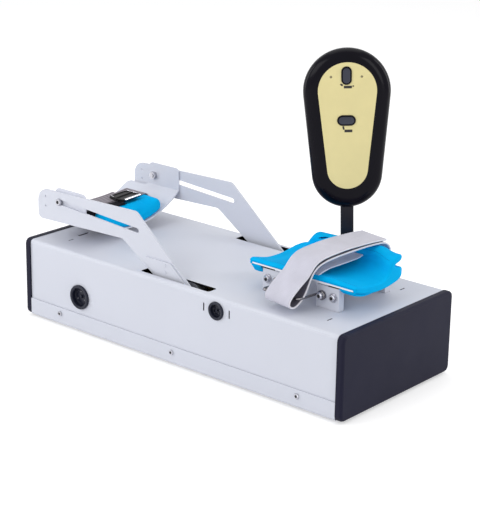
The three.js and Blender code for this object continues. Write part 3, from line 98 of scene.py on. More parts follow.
def makeLamps(plan):
    for name, (place, aim, width, height, power) in plan.items():
        data = bpy.data.lights.new(name, "AREA")
        data.shape = "RECTANGLE"
        data.size = width
        data.size_y = height
        data.energy = power
        lamp = addObject(name, data)
        lamp.location = place
        lamp.rotation_euler = (Vector(aim) - Vector(place)).to_track_quat("-Z", "Y").to_euler()


studio = {"ambient": 0.62, "backdrop": 1.0, "floorHalf": 12, "floorColor": (0.8, 0.8, 0.805),
          "floorGlow": 0.42}


def addNode(tree, kind, inputs=None, **settings):
    node = tree.nodes.new(kind)
    for key, value in settings.items():
        setattr(node, key, value)
    for key, value in (inputs or {}).items():
        if isinstance(value, bpy.types.NodeSocket):
            tree.links.new(value, node.inputs[key])
        else:
            node.inputs[key].default_value = value
    return node


def compute(tree, operation, *values):
    return addNode(tree, "ShaderNodeMath", dict(enumerate(values)), operation=operation).outputs[0]


def seenDirectly(tree):
    # 1 for what the camera sees, also by way of gloss and glass
    path = addNode(tree, "ShaderNodeLightPath").outputs
    return compute(tree, "MAXIMUM", path["Is Camera Ray"],
                   compute(tree, "MAXIMUM", path["Is Glossy Ray"], path["Is Transmission Ray"]))


def emptyTree(owner):
    owner.use_nodes = True
    owner.node_tree.nodes.clear()
    return owner.node_tree


def makeStage(plan):
    world = bpy.data.worlds.new("studioWorld")
    tree = emptyTree(world)
    strength = addNode(tree, "ShaderNodeMapRange", {"Value": seenDirectly(tree), "To Min": plan["ambient"],
                                                    "To Max": plan["backdrop"]})
    light = addNode(tree, "ShaderNodeBackground", {"Color": (1, 1, 1, 1), "Strength": strength.outputs[0]})
    addNode(tree, "ShaderNodeOutputWorld", {"Surface": light.outputs[0]})
    bpy.context.scene.world = world
    bpy.context.scene.view_settings.view_transform = "Standard"

    paper = bpy.data.materials.new("studioPaper")
    tree = emptyTree(paper)
    matt = addNode(tree, "ShaderNodeBsdfDiffuse", {"Color": (*plan["floorColor"], 1)})
    glow = compute(tree, "MULTIPLY", seenDirectly(tree), plan["floorGlow"])
    lit = addNode(tree, "ShaderNodeEmission", {"Strength": glow})
    both = addNode(tree, "ShaderNodeAddShader", {0: matt.outputs[0], 1: lit.outputs[0]})
    addNode(tree, "ShaderNodeOutputMaterial", {"Surface": both.outputs[0]})
    half = plan["floorHalf"]
    corners = [(-half, -half, 0), (half, -half, 0), (half, half, 0), (-half, half, 0)]
    mesh = bpy.data.meshes.new("studioFloor")
    mesh.from_pydata(corners, [], [(0, 1, 2, 3)])
    mesh.materials.append(paper)
    addObject("studioFloor", mesh)


makeCamera(cameraView)
makeLamps(lampPlan)
makeStage(studio)
print("camera, lamps and ground are in place")

# shader groups, shared by the finishes

floatSocket, colorSocket = "NodeSocketFloat", "NodeSocketColor"


def newGroup(name, inputs, outputs):
    # inputs by their start values, outputs by their kinds
    tree = bpy.data.node_groups.new(name, "ShaderNodeTree")
    for label, value in inputs.items():
        kind = colorSocket if isinstance(value, tuple) else floatSocket
        tree.interface.new_socket(label, in_out="INPUT", socket_type=kind).default_value = value
    for label, kind in outputs.items():
        tree.interface.new_socket(label, in_out="OUTPUT", socket_type=kind)
    return tree, tree.nodes.new("NodeGroupInput").outputs, tree.nodes.new("NodeGroupOutput").inputs


def noise(tree, scale, detail, roughness=0.5):
    place = addNode(tree, "ShaderNodeTexCoord").outputs["Object"]
    return addNode(tree, "ShaderNodeTexNoise", {"Vector": place, "Scale": scale, "Detail": detail,
                                                "Roughness": roughness}).outputs["Fac"]


def mixColors(tree, factor, low, high):
    return addNode(tree, "ShaderNodeMix", {"Factor": factor, 6: low, 7: high}, data_type="RGBA").outputs[2]


def makeToneGroup():
    # cloudy change of a colour, as of a sprayed or moulded surface
    tree, given, end = newGroup("cloudyTone", {"Color": (0.5, 0.5, 0.5, 1), "Scale": 6.0, "Depth": 0.05},
                                {"Color": colorSocket})
    factor = addNode(tree, "ShaderNodeMapRange", {
        "Value": noise(tree, given["Scale"], detail=3.0, roughness=0.55), "From Min": 0.3, "From Max": 0.7,
        "To Min": compute(tree, "SUBTRACT", 1.0, given["Depth"]), "To Max": 1.0})
    toned = addNode(tree, "ShaderNodeVectorMath", {0: given["Color"], "Scale": factor.outputs[0]},
                    operation="SCALE")
    tree.links.new(toned.outputs["Vector"], end["Color"])
    return tree


def makeGrainGroup():
    # fine even grain: powder coat, moulded texture, felt
    tree, given, end = newGroup("fineGrain", {"Scale": 900.0, "Roughness": 0.45, "Spread": 0.08},
                                {"Height": floatSocket, "Roughness": floatSocket})
    centred = compute(tree, "SUBTRACT", noise(tree, scale=22.0, detail=4.0), 0.5)
    change = compute(tree, "MULTIPLY", centred, given["Spread"])
    tree.links.new(noise(tree, given["Scale"], detail=2.0), end["Height"])
    tree.links.new(compute(tree, "ADD", given["Roughness"], change), end["Roughness"])
    return tree


def makeWeaveGroup():
    # over and under threads on the piece's own map, which is in metres
    tree, given, end = newGroup("wovenThreads", {"Across": 900.0, "Along": 700.0, "Stripe": 260.0},
                                {"Height": floatSocket, "Stripe": floatSocket})
    place = addNode(tree, "ShaderNodeTexCoord").outputs["UV"]
    split = addNode(tree, "ShaderNodeSeparateXYZ", {0: place}).outputs

    def wave(value, count):
        turn = compute(tree, "MULTIPLY", value, given[count])
        return compute(tree, "SINE", compute(tree, "MULTIPLY", turn, 2 * math.pi))

    cross = compute(tree, "MULTIPLY", wave(split[0], "Across"), wave(split[1], "Along"))
    for label, value in (("Height", cross), ("Stripe", wave(split[0], "Stripe"))):
        share = addNode(tree, "ShaderNodeMapRange", {"Value": value, "From Min": -1.0})
        tree.links.new(share.outputs[0], end[label])
    return tree


toneGroup, grainGroup, weaveGroup = makeToneGroup(), makeGrainGroup(), makeWeaveGroup()
materials = {}


def addGroup(tree, group, values):
    return addNode(tree, "ShaderNodeGroup", values, node_tree=group).outputs


def newMaterial(name):
    materials[name] = bpy.data.materials.new(name)
    tree = emptyTree(materials[name])
    shader = addNode(tree, "ShaderNodeBsdfPrincipled")
    addNode(tree, "ShaderNodeOutputMaterial", {"Surface": shader.outputs[0]})
    return tree, shader.inputs


def dress(tree, sockets, color, fine, height, depth, strength=0.5):
    # the colour, the grain's roughness, and a bump of that depth in mm
    bump = addNode(tree, "ShaderNodeBump", {"Strength": strength, "Distance": depth * mm, "Height": height})
    tree.links.new(color, sockets["Base Color"])
    tree.links.new(fine["Roughness"], sockets["Roughness"])
    tree.links.new(bump.outputs[0], sockets["Normal"])


def srgb(red, green, blue):
    def straight(value):
        share = value / 255
        return share / 12.92 if share <= 0.04045 else ((share + 0.055) / 1.055) ** 2.4

    return (straight(red), straight(green), straight(blue), 1)


# name: colour, cloud scale, cloud depth, grain scale, grain depth in mm, roughness, its spread and the
# specular level
solidFinishes = {
    "paintedShell": ((209, 212, 223), 5, 0.035, 1500, 0.03, 0.42, 0.1, 0.36),
    # the tray's paint is whiter than the shell's: a painted highlight for its lit sheet edge
    "trayHighlightPaint": ((244, 245, 250), 5, 0.02, 1500, 0.03, 0.4, 0.1, 0.5),
    "capPlastic": ((29, 29, 48), 9, 0.12, 1100, 0.05, 0.5, 0.16, 0.11),
    "footRubber": ((26, 26, 29), 30, 0.2, 700, 0.08, 0.85, 0.1, 0.5),
    "socketPlastic": ((30, 33, 49), 40, 0.15, 1200, 0.02, 0.34, 0.12, 0.25),
    "screwSteel": ((192, 192, 199), 60, 0.12, 2000, 0.01, 0.26, 0.16, 0.5),
    "bailSteel": ((134, 131, 134), 60, 0.12, 2000, 0.01, 0.24, 0.1, 0.5),
    "zincPlate": ((176, 178, 184), 25, 0.2, 900, 0.03, 0.42, 0.2, 0.5),
    "gearBrass": ((208, 178, 110), 40, 0.15, 900, 0.02, 0.35, 0.16, 0.5),
    "blockAluminium": ((200, 202, 208), 30, 0.12, 500, 0.06, 0.5, 0.14, 0.5),
    "boardLacquer": ((14, 44, 30), 50, 0.25, 400, 0.03, 0.45, 0.1, 0.2),
    "bucklePlastic": ((7, 7, 13), 50, 0.15, 1400, 0.02, 0.36, 0.12, 0.14),
    "barChrome": ((226, 226, 232), 40, 0.05, 2000, 0.005, 0.12, 0.06, 0.5),
    "handsetGloss": ((9, 7, 18), 18, 0.16, 1600, 0.008, 0.17, 0.06, 0.11),
    "stalkPlastic": ((28, 26, 33), 20, 0.16, 1500, 0.02, 0.4, 0.1, 0.3),
    "buttonNavy": ((36, 40, 58), 60, 0.1, 1800, 0.01, 0.28, 0.08, 0.5),
    "faceFilm": ((231, 218, 158), 35, 0.045, 1700, 0.015, 0.46, 0.08, 0.5),
    "printInk": ((28, 24, 22), 60, 0.1, 1500, 0.01, 0.5, 0.05, 0.5),
    "lampLens": ((140, 130, 96), 200, 0.2, 900, 0.01, 0.2, 0.05, 0.5),
    # near-black discs: painted shade at the floor of the screws' hex sockets
    "paintedHoleShade": ((12, 12, 15), 60, 0.2, 900, 0.01, 0.7, 0.05, 0.5),
    "threadPale": ((214, 213, 221), 90, 0.12, 2200, 0.03, 0.85, 0.1, 0.5),
    "threadBlue": ((0, 120, 196), 90, 0.15, 2200, 0.03, 0.85, 0.1, 0.1),
    "slitShade": ((0, 44, 110), 90, 0.15, 2200, 0.03, 0.9, 0.1, 0.05),
}
metals = ("screwSteel", "bailSteel", "zincPlate", "gearBrass", "blockAluminium", "barChrome")


def makeSolidFinish(name, finish):
    color, cloud, depth, grain, height, rough, spread, specular = finish
    tree, sockets = newMaterial(name)
    tone = addGroup(tree, toneGroup, {"Color": srgb(*color), "Scale": cloud, "Depth": depth})
    fine = addGroup(tree, grainGroup, {"Scale": grain, "Roughness": rough, "Spread": spread})
    dress(tree, sockets, tone["Color"], fine, fine["Height"], height, strength=0.6)
    sockets["Specular IOR Level"].default_value = specular
    sockets["Metallic"].default_value = 1.0 if name in metals else 0.0


# name: colour, stripe colour, stripes per metre, threads across and along, height in mm, sheen
clothFinishes = {
    "wristWebbing": ((158, 152, 160), (100, 95, 103), 190, 620, 700, 0.22, 0.1),
    "loopTape": ((208, 208, 222), (197, 196, 209), 520, 900, 900, 0.1, 0.25),
    "tapeInside": ((128, 125, 142), (104, 101, 118), 420, 800, 800, 0.16, 0.15),
    "tapeEdge": ((232, 231, 238), (214, 212, 222), 900, 900, 1400, 0.1, 0.1),
    "blackWebbing": ((14, 14, 24), (9, 9, 16), 300, 620, 700, 0.05, 0.0),
}
tapeFinishes = ["loopTape", "tapeInside", "tapeEdge"]


def makeClothFinish(name, finish):
    color, stripe, stripes, across, along, height, sheen = finish
    tree, sockets = newMaterial(name)
    weave = addGroup(tree, weaveGroup, {"Across": across, "Along": along, "Stripe": stripes})
    mixed = mixColors(tree, weave["Stripe"], srgb(*stripe), srgb(*color))
    tone = addGroup(tree, toneGroup, {"Color": mixed, "Scale": 45.0, "Depth": 0.1})
    fine = addGroup(tree, grainGroup, {"Scale": 2200.0, "Roughness": 0.9, "Spread": 0.1})
    dress(tree, sockets, tone["Color"], fine, compute(tree, "ADD", weave["Height"], fine["Height"]), height)
    sockets["Sheen Weight"].default_value = sheen
    sockets["Specular IOR Level"].default_value = 0.12


foamFinish = {"color": (0, 187, 243), "shade": (0, 160, 229), "knit": 1500, "height": 0.12}


def makeFoamFinish(plan):
    # knitted face over foam: rows of small loops, and soft clouds where the foam is pressed
    tree, sockets = newMaterial("padFoam")
    place = addNode(tree, "ShaderNodeTexCoord").outputs["Object"]
    cells = addNode(tree, "ShaderNodeTexVoronoi",
                    {"Vector": place, "Scale": plan["knit"], "Randomness": 0.35}, feature="F1")
    cloud = noise(tree, scale=26.0, detail=3.0)
    mixed = mixColors(tree, cloud, srgb(*plan["shade"]), srgb(*plan["color"]))
    fine = addGroup(tree, grainGroup, {"Scale": 2600.0, "Roughness": 0.78, "Spread": 0.14})
    height = compute(tree, "ADD", cells.outputs["Distance"], fine["Height"])
    dress(tree, sockets, mixed, fine, height, plan["height"])
    sockets["Specular IOR Level"].default_value = 0.05


for finishName, finish in solidFinishes.items():
    makeSolidFinish(finishName, finish)
for finishName, finish in clothFinishes.items():
    makeClothFinish(finishName, finish)
makeFoamFinish(foamFinish)

# painted shade on the inside of the box: the pieces whose paint is darkened there, by half depth, floor, top
# and the sum of depth and height that leaves out the cover's bend, in mm
insideShadeColor = srgb(16, 16, 20)
insideShadeLimits = {"top_cover": (114.8, 0, 115.75, 226.4), "base_pan": (115.4, 4.75, 300, 900),
                "cuff_frame": (300, 0, 115, 900)}


def makePaintedInsideShade(name, limits):
    # a copy of the paint with painted shade within the limits, measured from the middle of the box
    half, low, high, corner = (limit * mm for limit in limits)
    materials[name] = materials["paintedShell"].copy()
    materials[name].name = name
    tree = materials[name].node_tree
    place = addNode(tree, "ShaderNodeTexCoord").outputs["Object"]
    split = addNode(tree, "ShaderNodeSeparateXYZ", {0: place}).outputs
    depth = compute(tree, "ABSOLUTE", split[1])
    inside = compute(tree, "LESS_THAN", depth, half)
    for value, limit, kind in ((split[2], low, "GREATER_THAN"), (split[2], high, "LESS_THAN"),
                               (compute(tree, "ADD", depth, split[2]), corner, "LESS_THAN")):
        inside = compute(tree, "MULTIPLY", inside, compute(tree, kind, value, limit))
    color = next(item for item in tree.nodes if item.type == "BSDF_PRINCIPLED").inputs["Base Color"]
    tree.links.new(mixColors(tree, inside, color.links[0].from_socket, insideShadeColor), color)


slotFinish = {
    "painted_shell": "paintedShell", "cap_plastic": "capPlastic", "foot_rubber": "footRubber",
    "socket_plastic": "socketPlastic", "screw_steel": "screwSteel", "zinc_plate": "zincPlate",
    "gear_brass": "gearBrass", "block_aluminium": "blockAluminium", "board_green": "boardLacquer",
    "pad_foam": "padFoam", "wrist_webbing": "wristWebbing", "cuff_loop_tape": "loopTape",
    "buckle_plastic": "bucklePlastic", "handset_gloss": "handsetGloss", "face_cream": "faceFilm",
}
for row in frame["record"]["subparts"]:
    node = nodes[row["node"]]
    node.data.materials.clear()
    node.data.materials.append(materials[slotFinish[row["material_slot"]]])
# the tray takes the whiter paint, a painted highlight on its lit edge
ownFinish = {"handset_stem": "stalkPlastic", "stem_foot": "stalkPlastic", "cuff_tray": "trayHighlightPaint"}
for name, finish in ownFinish.items():
    nodes[name].data.materials[0] = materials[finish]
# these pieces get a paint that carries painted shade inside the box
for name, limits in insideShadeLimits.items():
    makePaintedInsideShade(name + "Paint", limits)
    nodes[name].data.materials[0] = materials[name + "Paint"]
print("finishes:", len(materials))

# mesh helpers


def lerp(low, high, share):
    return low + (high - low) * share


def smooth(value, low, high):
    share = min(1, max(0, (value - low) / (high - low)))
    return share * share * (3 - 2 * share)


def turns(count):
    return [2 * math.pi * k / count for k in range(count)]


def runLengths(points):
    lengths = [0]
    for a, b in zip(points, points[1:]):
        lengths.append(lengths[-1] + (b - a).length)
    return lengths


def evenWalk(points, count, closed=False):
    # even steps along a line of points; a closed one stops a step before its start
    lengths = runLengths(points)
    walked, at = [], 0
    for k in range(count):
        goal = lengths[-1] * k / (count if closed else count - 1)
        while at < len(lengths) - 2 and lengths[at + 1] < goal:
            at += 1
        span = lengths[at + 1] - lengths[at]
        walked.append(points[at].lerp(points[at + 1], (goal - lengths[at]) / span if span else 0))
    return walked


def curveThrough(points, count, steps=12):
    # an even walk along a smooth curve through 2-D or 3-D points
    ends = [Vector(point) for point in points]
    last = len(ends) - 1
    fine = []
    for i in range(last):
        before, here, after, beyond = ends[max(0, i - 1)], ends[i], ends[i + 1], ends[min(last, i + 2)]
        slope = after - before
        bend = 2 * before - 5 * here + 4 * after - beyond
        twist = 3 * here - before - 3 * after + beyond
        fine += [0.5 * (2 * here + slope * t + bend * t * t + twist * t ** 3)
                 for t in (j / steps for j in range(steps))]
    return evenWalk(fine + [ends[-1]], count)


def roundCorner(before, corner, after, reach, steps=8):
    # the bend between two straight runs, which starts that far from their corner
    start, end = (corner + (other - corner).normalized() * reach for other in (before, after))
    return [start.lerp(corner, t).lerp(corner.lerp(end, t), t) for t in (k / steps for k in range(steps + 1))]


def newPiece(name, points, faces, finishes, faceFinish=None, uvs=None):
    # points in millimetres
    mesh = bpy.data.meshes.new(name)
    mesh.from_pydata([Vector(point) * mm for point in points], [], faces)
    for finish in finishes:
        mesh.materials.append(materials[finish])
    if faceFinish:
        mesh.polygons.foreach_set("material_index", faceFinish)
    if uvs:
        layer = mesh.uv_layers.new(name="piece")
        for loop in mesh.loops:
            layer.data[loop.index].uv = uvs[loop.vertex_index]
    return addObject(name, mesh)


def closeMesh(piece, angle=40):
    work = bmesh.new()
    work.from_mesh(piece.data)
    bmesh.ops.remove_doubles(work, verts=work.verts, dist=1e-6)
    bmesh.ops.recalc_face_normals(work, faces=work.faces)
    work.to_mesh(piece.data)
    work.free()
    piece.data.shade_smooth()
    piece.data.set_sharp_from_angle(angle=math.radians(angle))
    return piece


def joinPieces(name, pieces, angle=50):
    work = bmesh.new()
    for piece in pieces:
        work.from_mesh(piece.data)
    mesh = bpy.data.meshes.new(name)
    work.to_mesh(mesh)
    work.free()
    for material in pieces[0].data.materials:
        mesh.materials.append(material)
    for piece in pieces:
        bpy.data.objects.remove(piece)
    mesh.set_sharp_from_angle(angle=math.radians(angle))
    return addObject(name, mesh)


def evaluatedMesh(piece):
    bpy.context.view_layer.update()
    return bpy.data.meshes.new_from_object(piece.evaluated_get(bpy.context.evaluated_depsgraph_get()))


def settle(piece):
    # the piece's modifiers become its mesh
    mesh = evaluatedMesh(piece)
    piece.modifiers.clear()
    piece.data = mesh


def handOver(piece, body, slot, *replaced):
    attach(piece, body)
    if replaced:
        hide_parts(*replaced)


def ringFaces(rings, around, closedRings=False):
    faces = []
    for i in range(rings if closedRings else rings - 1):
        k = (i + 1) % rings
        for j in range(around):
            n = (j + 1) % around
            faces.append((i * around + j, i * around + n, k * around + n, k * around + j))
    return faces


def loft(name, rings, finishes, angle=40, closedRings=False):
    # skin through loops of equal length, its ends closed flat
    around = len(rings[0])
    points = [point for ring in rings for point in ring]
    faces = ringFaces(len(rings), around, closedRings)
    if not closedRings:
        faces.append(tuple(range(around))[::-1])
        faces.append(tuple(range(len(points) - around, len(points))))
    return closeMesh(newPiece(name, points, faces, finishes), angle)


def heading(line, i, closed):
    # the direction of a line of points at one of them
    count = len(line)
    before = line[(i - 1) % count if closed else max(0, i - 1)]
    after = line[(i + 1) % count if closed else min(count - 1, i + 1)]
    return (Vector(after) - Vector(before)).normalized()


def tube(name, route, radius, finish, sides=14, closed=False):
    # round wire along 3-D points
    rings = []
    normal = heading(route, 0, closed).orthogonal().normalized()
    for i, point in enumerate(route):
        along = heading(route, i, closed)
        normal = (normal - along * normal.dot(along)).normalized()
        side = along.cross(normal)
        rings.append([Vector(point) + radius * (math.cos(a) * normal + math.sin(a) * side)
                      for a in turns(sides)])
    return loft(name, rings, [finish], angle=50, closedRings=closed)


# the edge of a strap: its width, its columns as shares of it, where its ridge ends, how much of the thickness
# is left at the very edge, and the share that has the third finish; then the columns between the edges
ribbonPlan = {"edge": 2.2, "columnShares": (0, 0.25, 0.6, 1), "ridgeShare": 0.6, "thinShare": 0.25,
              "borderShare": 0.5, "columns": 6}


def ribbon(name, line, acrossFrom, width, thickness, finishes, skew=0, closed=False, ridge=0.25, pivot=None):
    # a flat strap: line holds (y, z) points of its middle, and its width lies along X, or square to a skewed
    # strap where a pivot across it is given; the finishes are for its upper side, lower side and edges
    plan = ribbonPlan
    edge, columns = plan["edge"], plan["columns"]
    across = [edge * share for share in plan["columnShares"]]
    across += [lerp(edge, width - edge, k / columns) for k in range(1, columns)]
    across += [width - edge * share for share in reversed(plan["columnShares"])]
    halves = []
    for x in across:
        fromEdge = min(x, width - x)
        swell = ridge * (1 - smooth(fromEdge, edge * plan["ridgeShare"], edge))
        roll = math.sqrt(max(0, 1 - (1 - min(1, fromEdge / (thickness / 2))) ** 2))
        halves.append((thickness / 2 + swell) * max(plan["thinShare"], roll))
    ring = list(zip(across, halves))
    ring += [(x, -half) for x, half in reversed(ring)]
    points, uvs, run = [], [], 0
    for i, here in enumerate(line):
        along = heading(line, i, closed)
        up = Vector((along.y, -along.x))
        run += (Vector(here) - Vector(line[i - 1])).length if i else 0
        for x, lift in ring:
            spot = Vector(here) + up * lift
            turned = 0 if pivot is None else skew * (pivot - x)
            points.append((acrossFrom + x + skew * spot.x, spot.x + turned, spot.y))
            uvs.append((x * mm, run * mm))
    single, around = len(across), len(ring)
    faces = ringFaces(len(line), around, closed)
    kinds = []
    for j, (x, _) in enumerate(ring):
        border = j in (single - 1, around - 1) or min(x, width - x) < edge * plan["borderShare"]
        kinds.append(2 if border else int(j >= single))
    faceFinish = kinds * (len(faces) // around)
    if not closed:
        faces += [tuple(range(around))[::-1], tuple(range(len(points) - around, len(points)))]
        faceFinish += [2, 2]
    return closeMesh(newPiece(name, points, faces, finishes, faceFinish, uvs), angle=60)


def makeRepeatTree():
    # a small rounded shape set at every point: stitches, pins, the painted shade in the sockets of screws
    tree = bpy.data.node_groups.new("repeatShape", "GeometryNodeTree")
    kinds = {"Points": "Geometry", "Size": "Vector", "Around": "Int", "Finish": "Material"}
    for label, kind in kinds.items():
        tree.interface.new_socket(label, in_out="INPUT", socket_type="NodeSocket" + kind)
    tree.interface.new_socket("Shapes", in_out="OUTPUT", socket_type="NodeSocketGeometry")
    given = tree.nodes.new("NodeGroupInput").outputs
    end = tree.nodes.new("NodeGroupOutput")
    ball = addNode(tree, "GeometryNodeMeshUVSphere", {"Segments": given["Around"], "Rings": 6, "Radius": 1.0})
    shape = addNode(tree, "GeometryNodeTransform", {"Geometry": ball.outputs["Mesh"], "Scale": given["Size"]})
    upward, along = (addNode(tree, "GeometryNodeInputNamedAttribute", {"Name": label},
                             data_type="FLOAT_VECTOR") for label in ("upward", "along"))
    stood = addNode(tree, "FunctionNodeAlignRotationToVector", {"Vector": upward.outputs[0]}, axis="Z")
    turned = addNode(tree, "FunctionNodeAlignRotationToVector",
                     {"Rotation": stood.outputs[0], "Vector": along.outputs[0]}, axis="X", pivot_axis="Z")
    copies = addNode(tree, "GeometryNodeInstanceOnPoints",
                     {"Points": given["Points"], "Instance": shape.outputs[0], "Rotation": turned.outputs[0]})
    real = addNode(tree, "GeometryNodeRealizeInstances", {"Geometry": copies.outputs[0]})
    dressed = addNode(tree, "GeometryNodeSetMaterial",
                      {"Geometry": real.outputs[0], "Material": given["Finish"]})
    tree.links.new(dressed.outputs[0], end.inputs[0])
    return tree


repeatTree = makeRepeatTree()
repeatInputs = {item.name: item.identifier for item in repeatTree.interface.items_tree
                if item.in_out == "INPUT"}


def repeatPiece(name, spots, size, finish, around=8):
    # spots hold a place, an upward and an along direction each, in millimetres like the size
    mesh = bpy.data.meshes.new(name)
    mesh.from_pydata([Vector(place) * mm for place, upward, along in spots], [], [])
    for label, index in (("upward", 1), ("along", 2)):
        layer = mesh.attributes.new(label, "FLOAT_VECTOR", "POINT")
        for entry, spot in zip(layer.data, spots):
            entry.vector = spot[index]
    piece = addObject(name, mesh)
    modifier = piece.modifiers.new("repeat", "NODES")
    modifier.node_group = repeatTree
    modifier[repeatInputs["Size"]] = [side * mm for side in size]
    modifier[repeatInputs["Around"]] = around
    modifier[repeatInputs["Finish"]] = materials[finish]
    settle(piece)
    piece.data.shade_smooth()
    return piece


def spotsAlong(walk, pitch):
    # even places along a walk of (place, upward) pairs, each with its upward and along directions
    spots, carried = [], pitch / 2
    for (here, upward), (after, _) in zip(walk, walk[1:]):
        span = (after - here).length
        while span and carried <= span:
            spots.append((here.lerp(after, carried / span), upward, (after - here).normalized()))
            carried += pitch
        carried -= span
    return spots


print("helpers ready")

# upper-arm cuff

# the bent tray, and the wrap on it: its ends, rise, and where along it the flap rises and folds; its rounded
# ends and back corners; how its underside clears the tray and drops beyond it; and how finely it is made
cuffPlan = {"left": 85, "right": 249, "half": 54, "trayRadius": 150.8, "trayTop": 142, "trayThick": 2}
wrapPlan = {"left": 80, "right": 254, "rise": 35, "climb": 0.13, "flapStart": 92, "flapEnd": 114,
            "flapFrom": 10, "foldStart": 214, "foldEnd": 248, "round": 3, "corner": 25, "back": 59.4,
            "drop": 3.2, "ledge": (0.25, 0.6), "clear": 0.3, "stations": 90, "upperPoints": 130,
            "floorPoints": 30, "seamPoints": 200}
# the wrap's upper side from front to back, as shares of the tray's half depth and of the wrap's rise:
# lying flat at the left end, with its flap standing up, and with the flap folded at the right end
flatShares = [(-1, 0.3), (-1.02, 0.37), (-0.93, 0.43), (-0.76, 0.37), (-0.37, 0.22), (0, 0.18), (0.33, 0.2),
              (0.56, 0.25), (0.66, 0.27), (0.72, 0.29), (0.8, 0.31), (0.88, 0.34), (0.95, 0.36),
              (1.01, 0.365), (1.05, 0.35), (1.07, 0.32), (1.08, 0.28), (1.09, 0.22), (1.06, 0.16)]
flapShares = [(-1, 0.3), (-1.02, 0.38), (-0.93, 0.46), (-0.76, 0.4), (-0.37, 0.29), (0, 0.26), (0.33, 0.31),
              (0.56, 0.43), (0.66, 0.57), (0.69, 0.8), (0.76, 0.94), (0.88, 1), (1, 0.95), (1.05, 0.84),
              (1.03, 0.71), (0.91, 0.6), (1.04, 0.46), (1.1, 0.31), (1.06, 0.16)]
foldShares = [(-1, 0.29), (-1.02, 0.35), (-0.93, 0.4), (-0.76, 0.34), (-0.37, 0.25), (0, 0.23),
              (0.14, 0.27), (0.26, 0.38), (0.33, 0.54), (0.39, 0.74), (0.5, 0.89), (0.66, 0.96),
              (0.8, 0.93), (0.85, 0.84), (0.79, 0.73), (0.52, 0.61), (0.88, 0.44), (1.06, 0.26),
              (1.05, 0.08)]


def trayHeight(y, below=0):
    radius = cuffPlan["trayRadius"]
    reach = min(abs(y), cuffPlan["half"])
    return cuffPlan["trayTop"] + radius - math.sqrt((radius + below) ** 2 - reach ** 2)


def wrapTop(x, count):
    # (y, z) points of the wrap's upper side at a place along the box
    plan = wrapPlan
    flap = smooth(x, plan["flapStart"], plan["flapEnd"])
    fold = smooth(x, plan["foldStart"], plan["foldEnd"])
    climb = 1 + plan["climb"] * ((x - plan["left"]) / (plan["right"] - plan["left"]) - 0.5) * flap
    points = []
    for flat, raised, folded in zip(flatShares, flapShares, foldShares):
        y, z = (lerp(lerp(flat[axis], raised[axis], flap), folded[axis], fold) for axis in (0, 1))
        points.append((y * cuffPlan["half"], cuffPlan["trayTop"] + z * climb * plan["rise"]))
    return curveThrough(points, count)


def wrapPlace(x, y, z):
    # the ends draw in at the rounded back corners
    plan = wrapPlan
    into = max(0, min(y, plan["back"]) - plan["back"] + plan["corner"])
    inset = plan["corner"] - math.sqrt(plan["corner"] ** 2 - into ** 2)
    share = 2 * (x - plan["left"]) / (plan["right"] - plan["left"]) - 1
    return Vector((x - inset * share ** 3, y, z))


def roundedEnds(low, high, radius, stations, steps=6):
    # places along a loft, and how far its outline draws in at each
    angles = [math.pi / 2 * (1 - k / steps) for k in range(steps)]
    bend = [(radius * (1 - math.sin(angle)), radius * (1 - math.cos(angle))) for angle in angles]
    middle = [(lerp(low + radius, high - radius, k / stations), 0) for k in range(stations + 1)]
    return ([(low + step, inset) for step, inset in bend] + middle
            + [(high - step, inset) for step, inset in reversed(bend)])


def drawnIn(ring, inset, thinShare=0.42, facingAway=-0.2):
    # a clockwise outline moved inwards, less where it is thin
    if not inset:
        return ring
    outward = []
    for i in range(len(ring)):
        along = (ring[(i + 1) % len(ring)] - ring[i - 1]).normalized()
        outward.append(Vector((-along.y, along.x)))
    moved = []
    for here, out in zip(ring, outward):
        across = [(other - here).length for other, facing in zip(ring, outward)
                  if facing.dot(out) < facingAway and (other - here).dot(out) < 0]
        moved.append(here - out * min([inset] + [thinShare * span for span in across]))
    return moved


def wrapCap(ring, step=4):
    # triangles that close the wrap's end, with inner points so that they follow its rounded corner
    lows = [min(spot[axis] for spot in ring) for axis in (0, 1)]
    highs = [max(spot[axis] for spot in ring) for axis in (0, 1)]
    counts = [int((high - low) / step) for low, high in zip(lows, highs)]
    inner = [Vector((lows[0] + step * (i + 0.5), lows[1] + step * (j + 0.5)))
             for i in range(counts[0]) for j in range(counts[1])]
    spots, _, faces, *_ = delaunay_2d_cdt(ring + inner, [], [list(range(len(ring)))], 1, 1e-5)
    return spots, faces


def wrapShell():
    plan = wrapPlan
    rim = cuffPlan["half"] + plan["clear"]
    rings, stops = [], []
    for x, inset in roundedEnds(plan["left"], plan["right"], plan["round"], plan["stations"]):
        beyond = smooth(max(cuffPlan["left"] - x, x - cuffPlan["right"]), *plan["ledge"])
        floor = [Vector((y, trayHeight(y) + plan["clear"] - beyond * plan["drop"]))
                 for y in (lerp(rim, -rim, k / plan["floorPoints"]) for k in range(plan["floorPoints"] + 1))]
        lobe = Vector((rim + plan["clear"], trayHeight(rim) - cuffPlan["trayThick"]))
        rings.append(drawnIn(list(wrapTop(x, plan["upperPoints"])) + [lobe] + floor, inset))
        stops.append(x)
    points = [wrapPlace(x, spot.x, spot.y) for x, ring in zip(stops, rings) for spot in ring]
    faces = ringFaces(len(rings), len(rings[0]))
    for index in (0, -1):
        spots, cap = wrapCap(rings[index])
        faces += [tuple(len(points) + corner for corner in face) for face in cap]
        points += [wrapPlace(stops[index], spot.x, spot.y) for spot in spots]
    shell = newPiece("wrapShell", points, faces, ["padFoam"])
    work = bmesh.new()
    work.from_mesh(shell.data)
    bmesh.ops.delete(work, geom=[vertex for vertex in work.verts if not vertex.link_faces], context="VERTS")
    work.to_mesh(shell.data)
    work.free()
    return closeMesh(shell, angle=50)


# the wrap's ends hang on under the tray beside the posts: from x, to x and depth; they fill out behind the
# front lip and thin away towards the middle
tuckPlan = {"ends": ((83.5, 99, 8.5), (227, 251.5, 5)), "front": -53.9, "back": 0, "fills": (-54, -46),
            "lipShare": 0.35, "thins": (-38, -8), "thinShare": 0.85, "roundness": 0.6, "rings": 33,
            "around": 20}


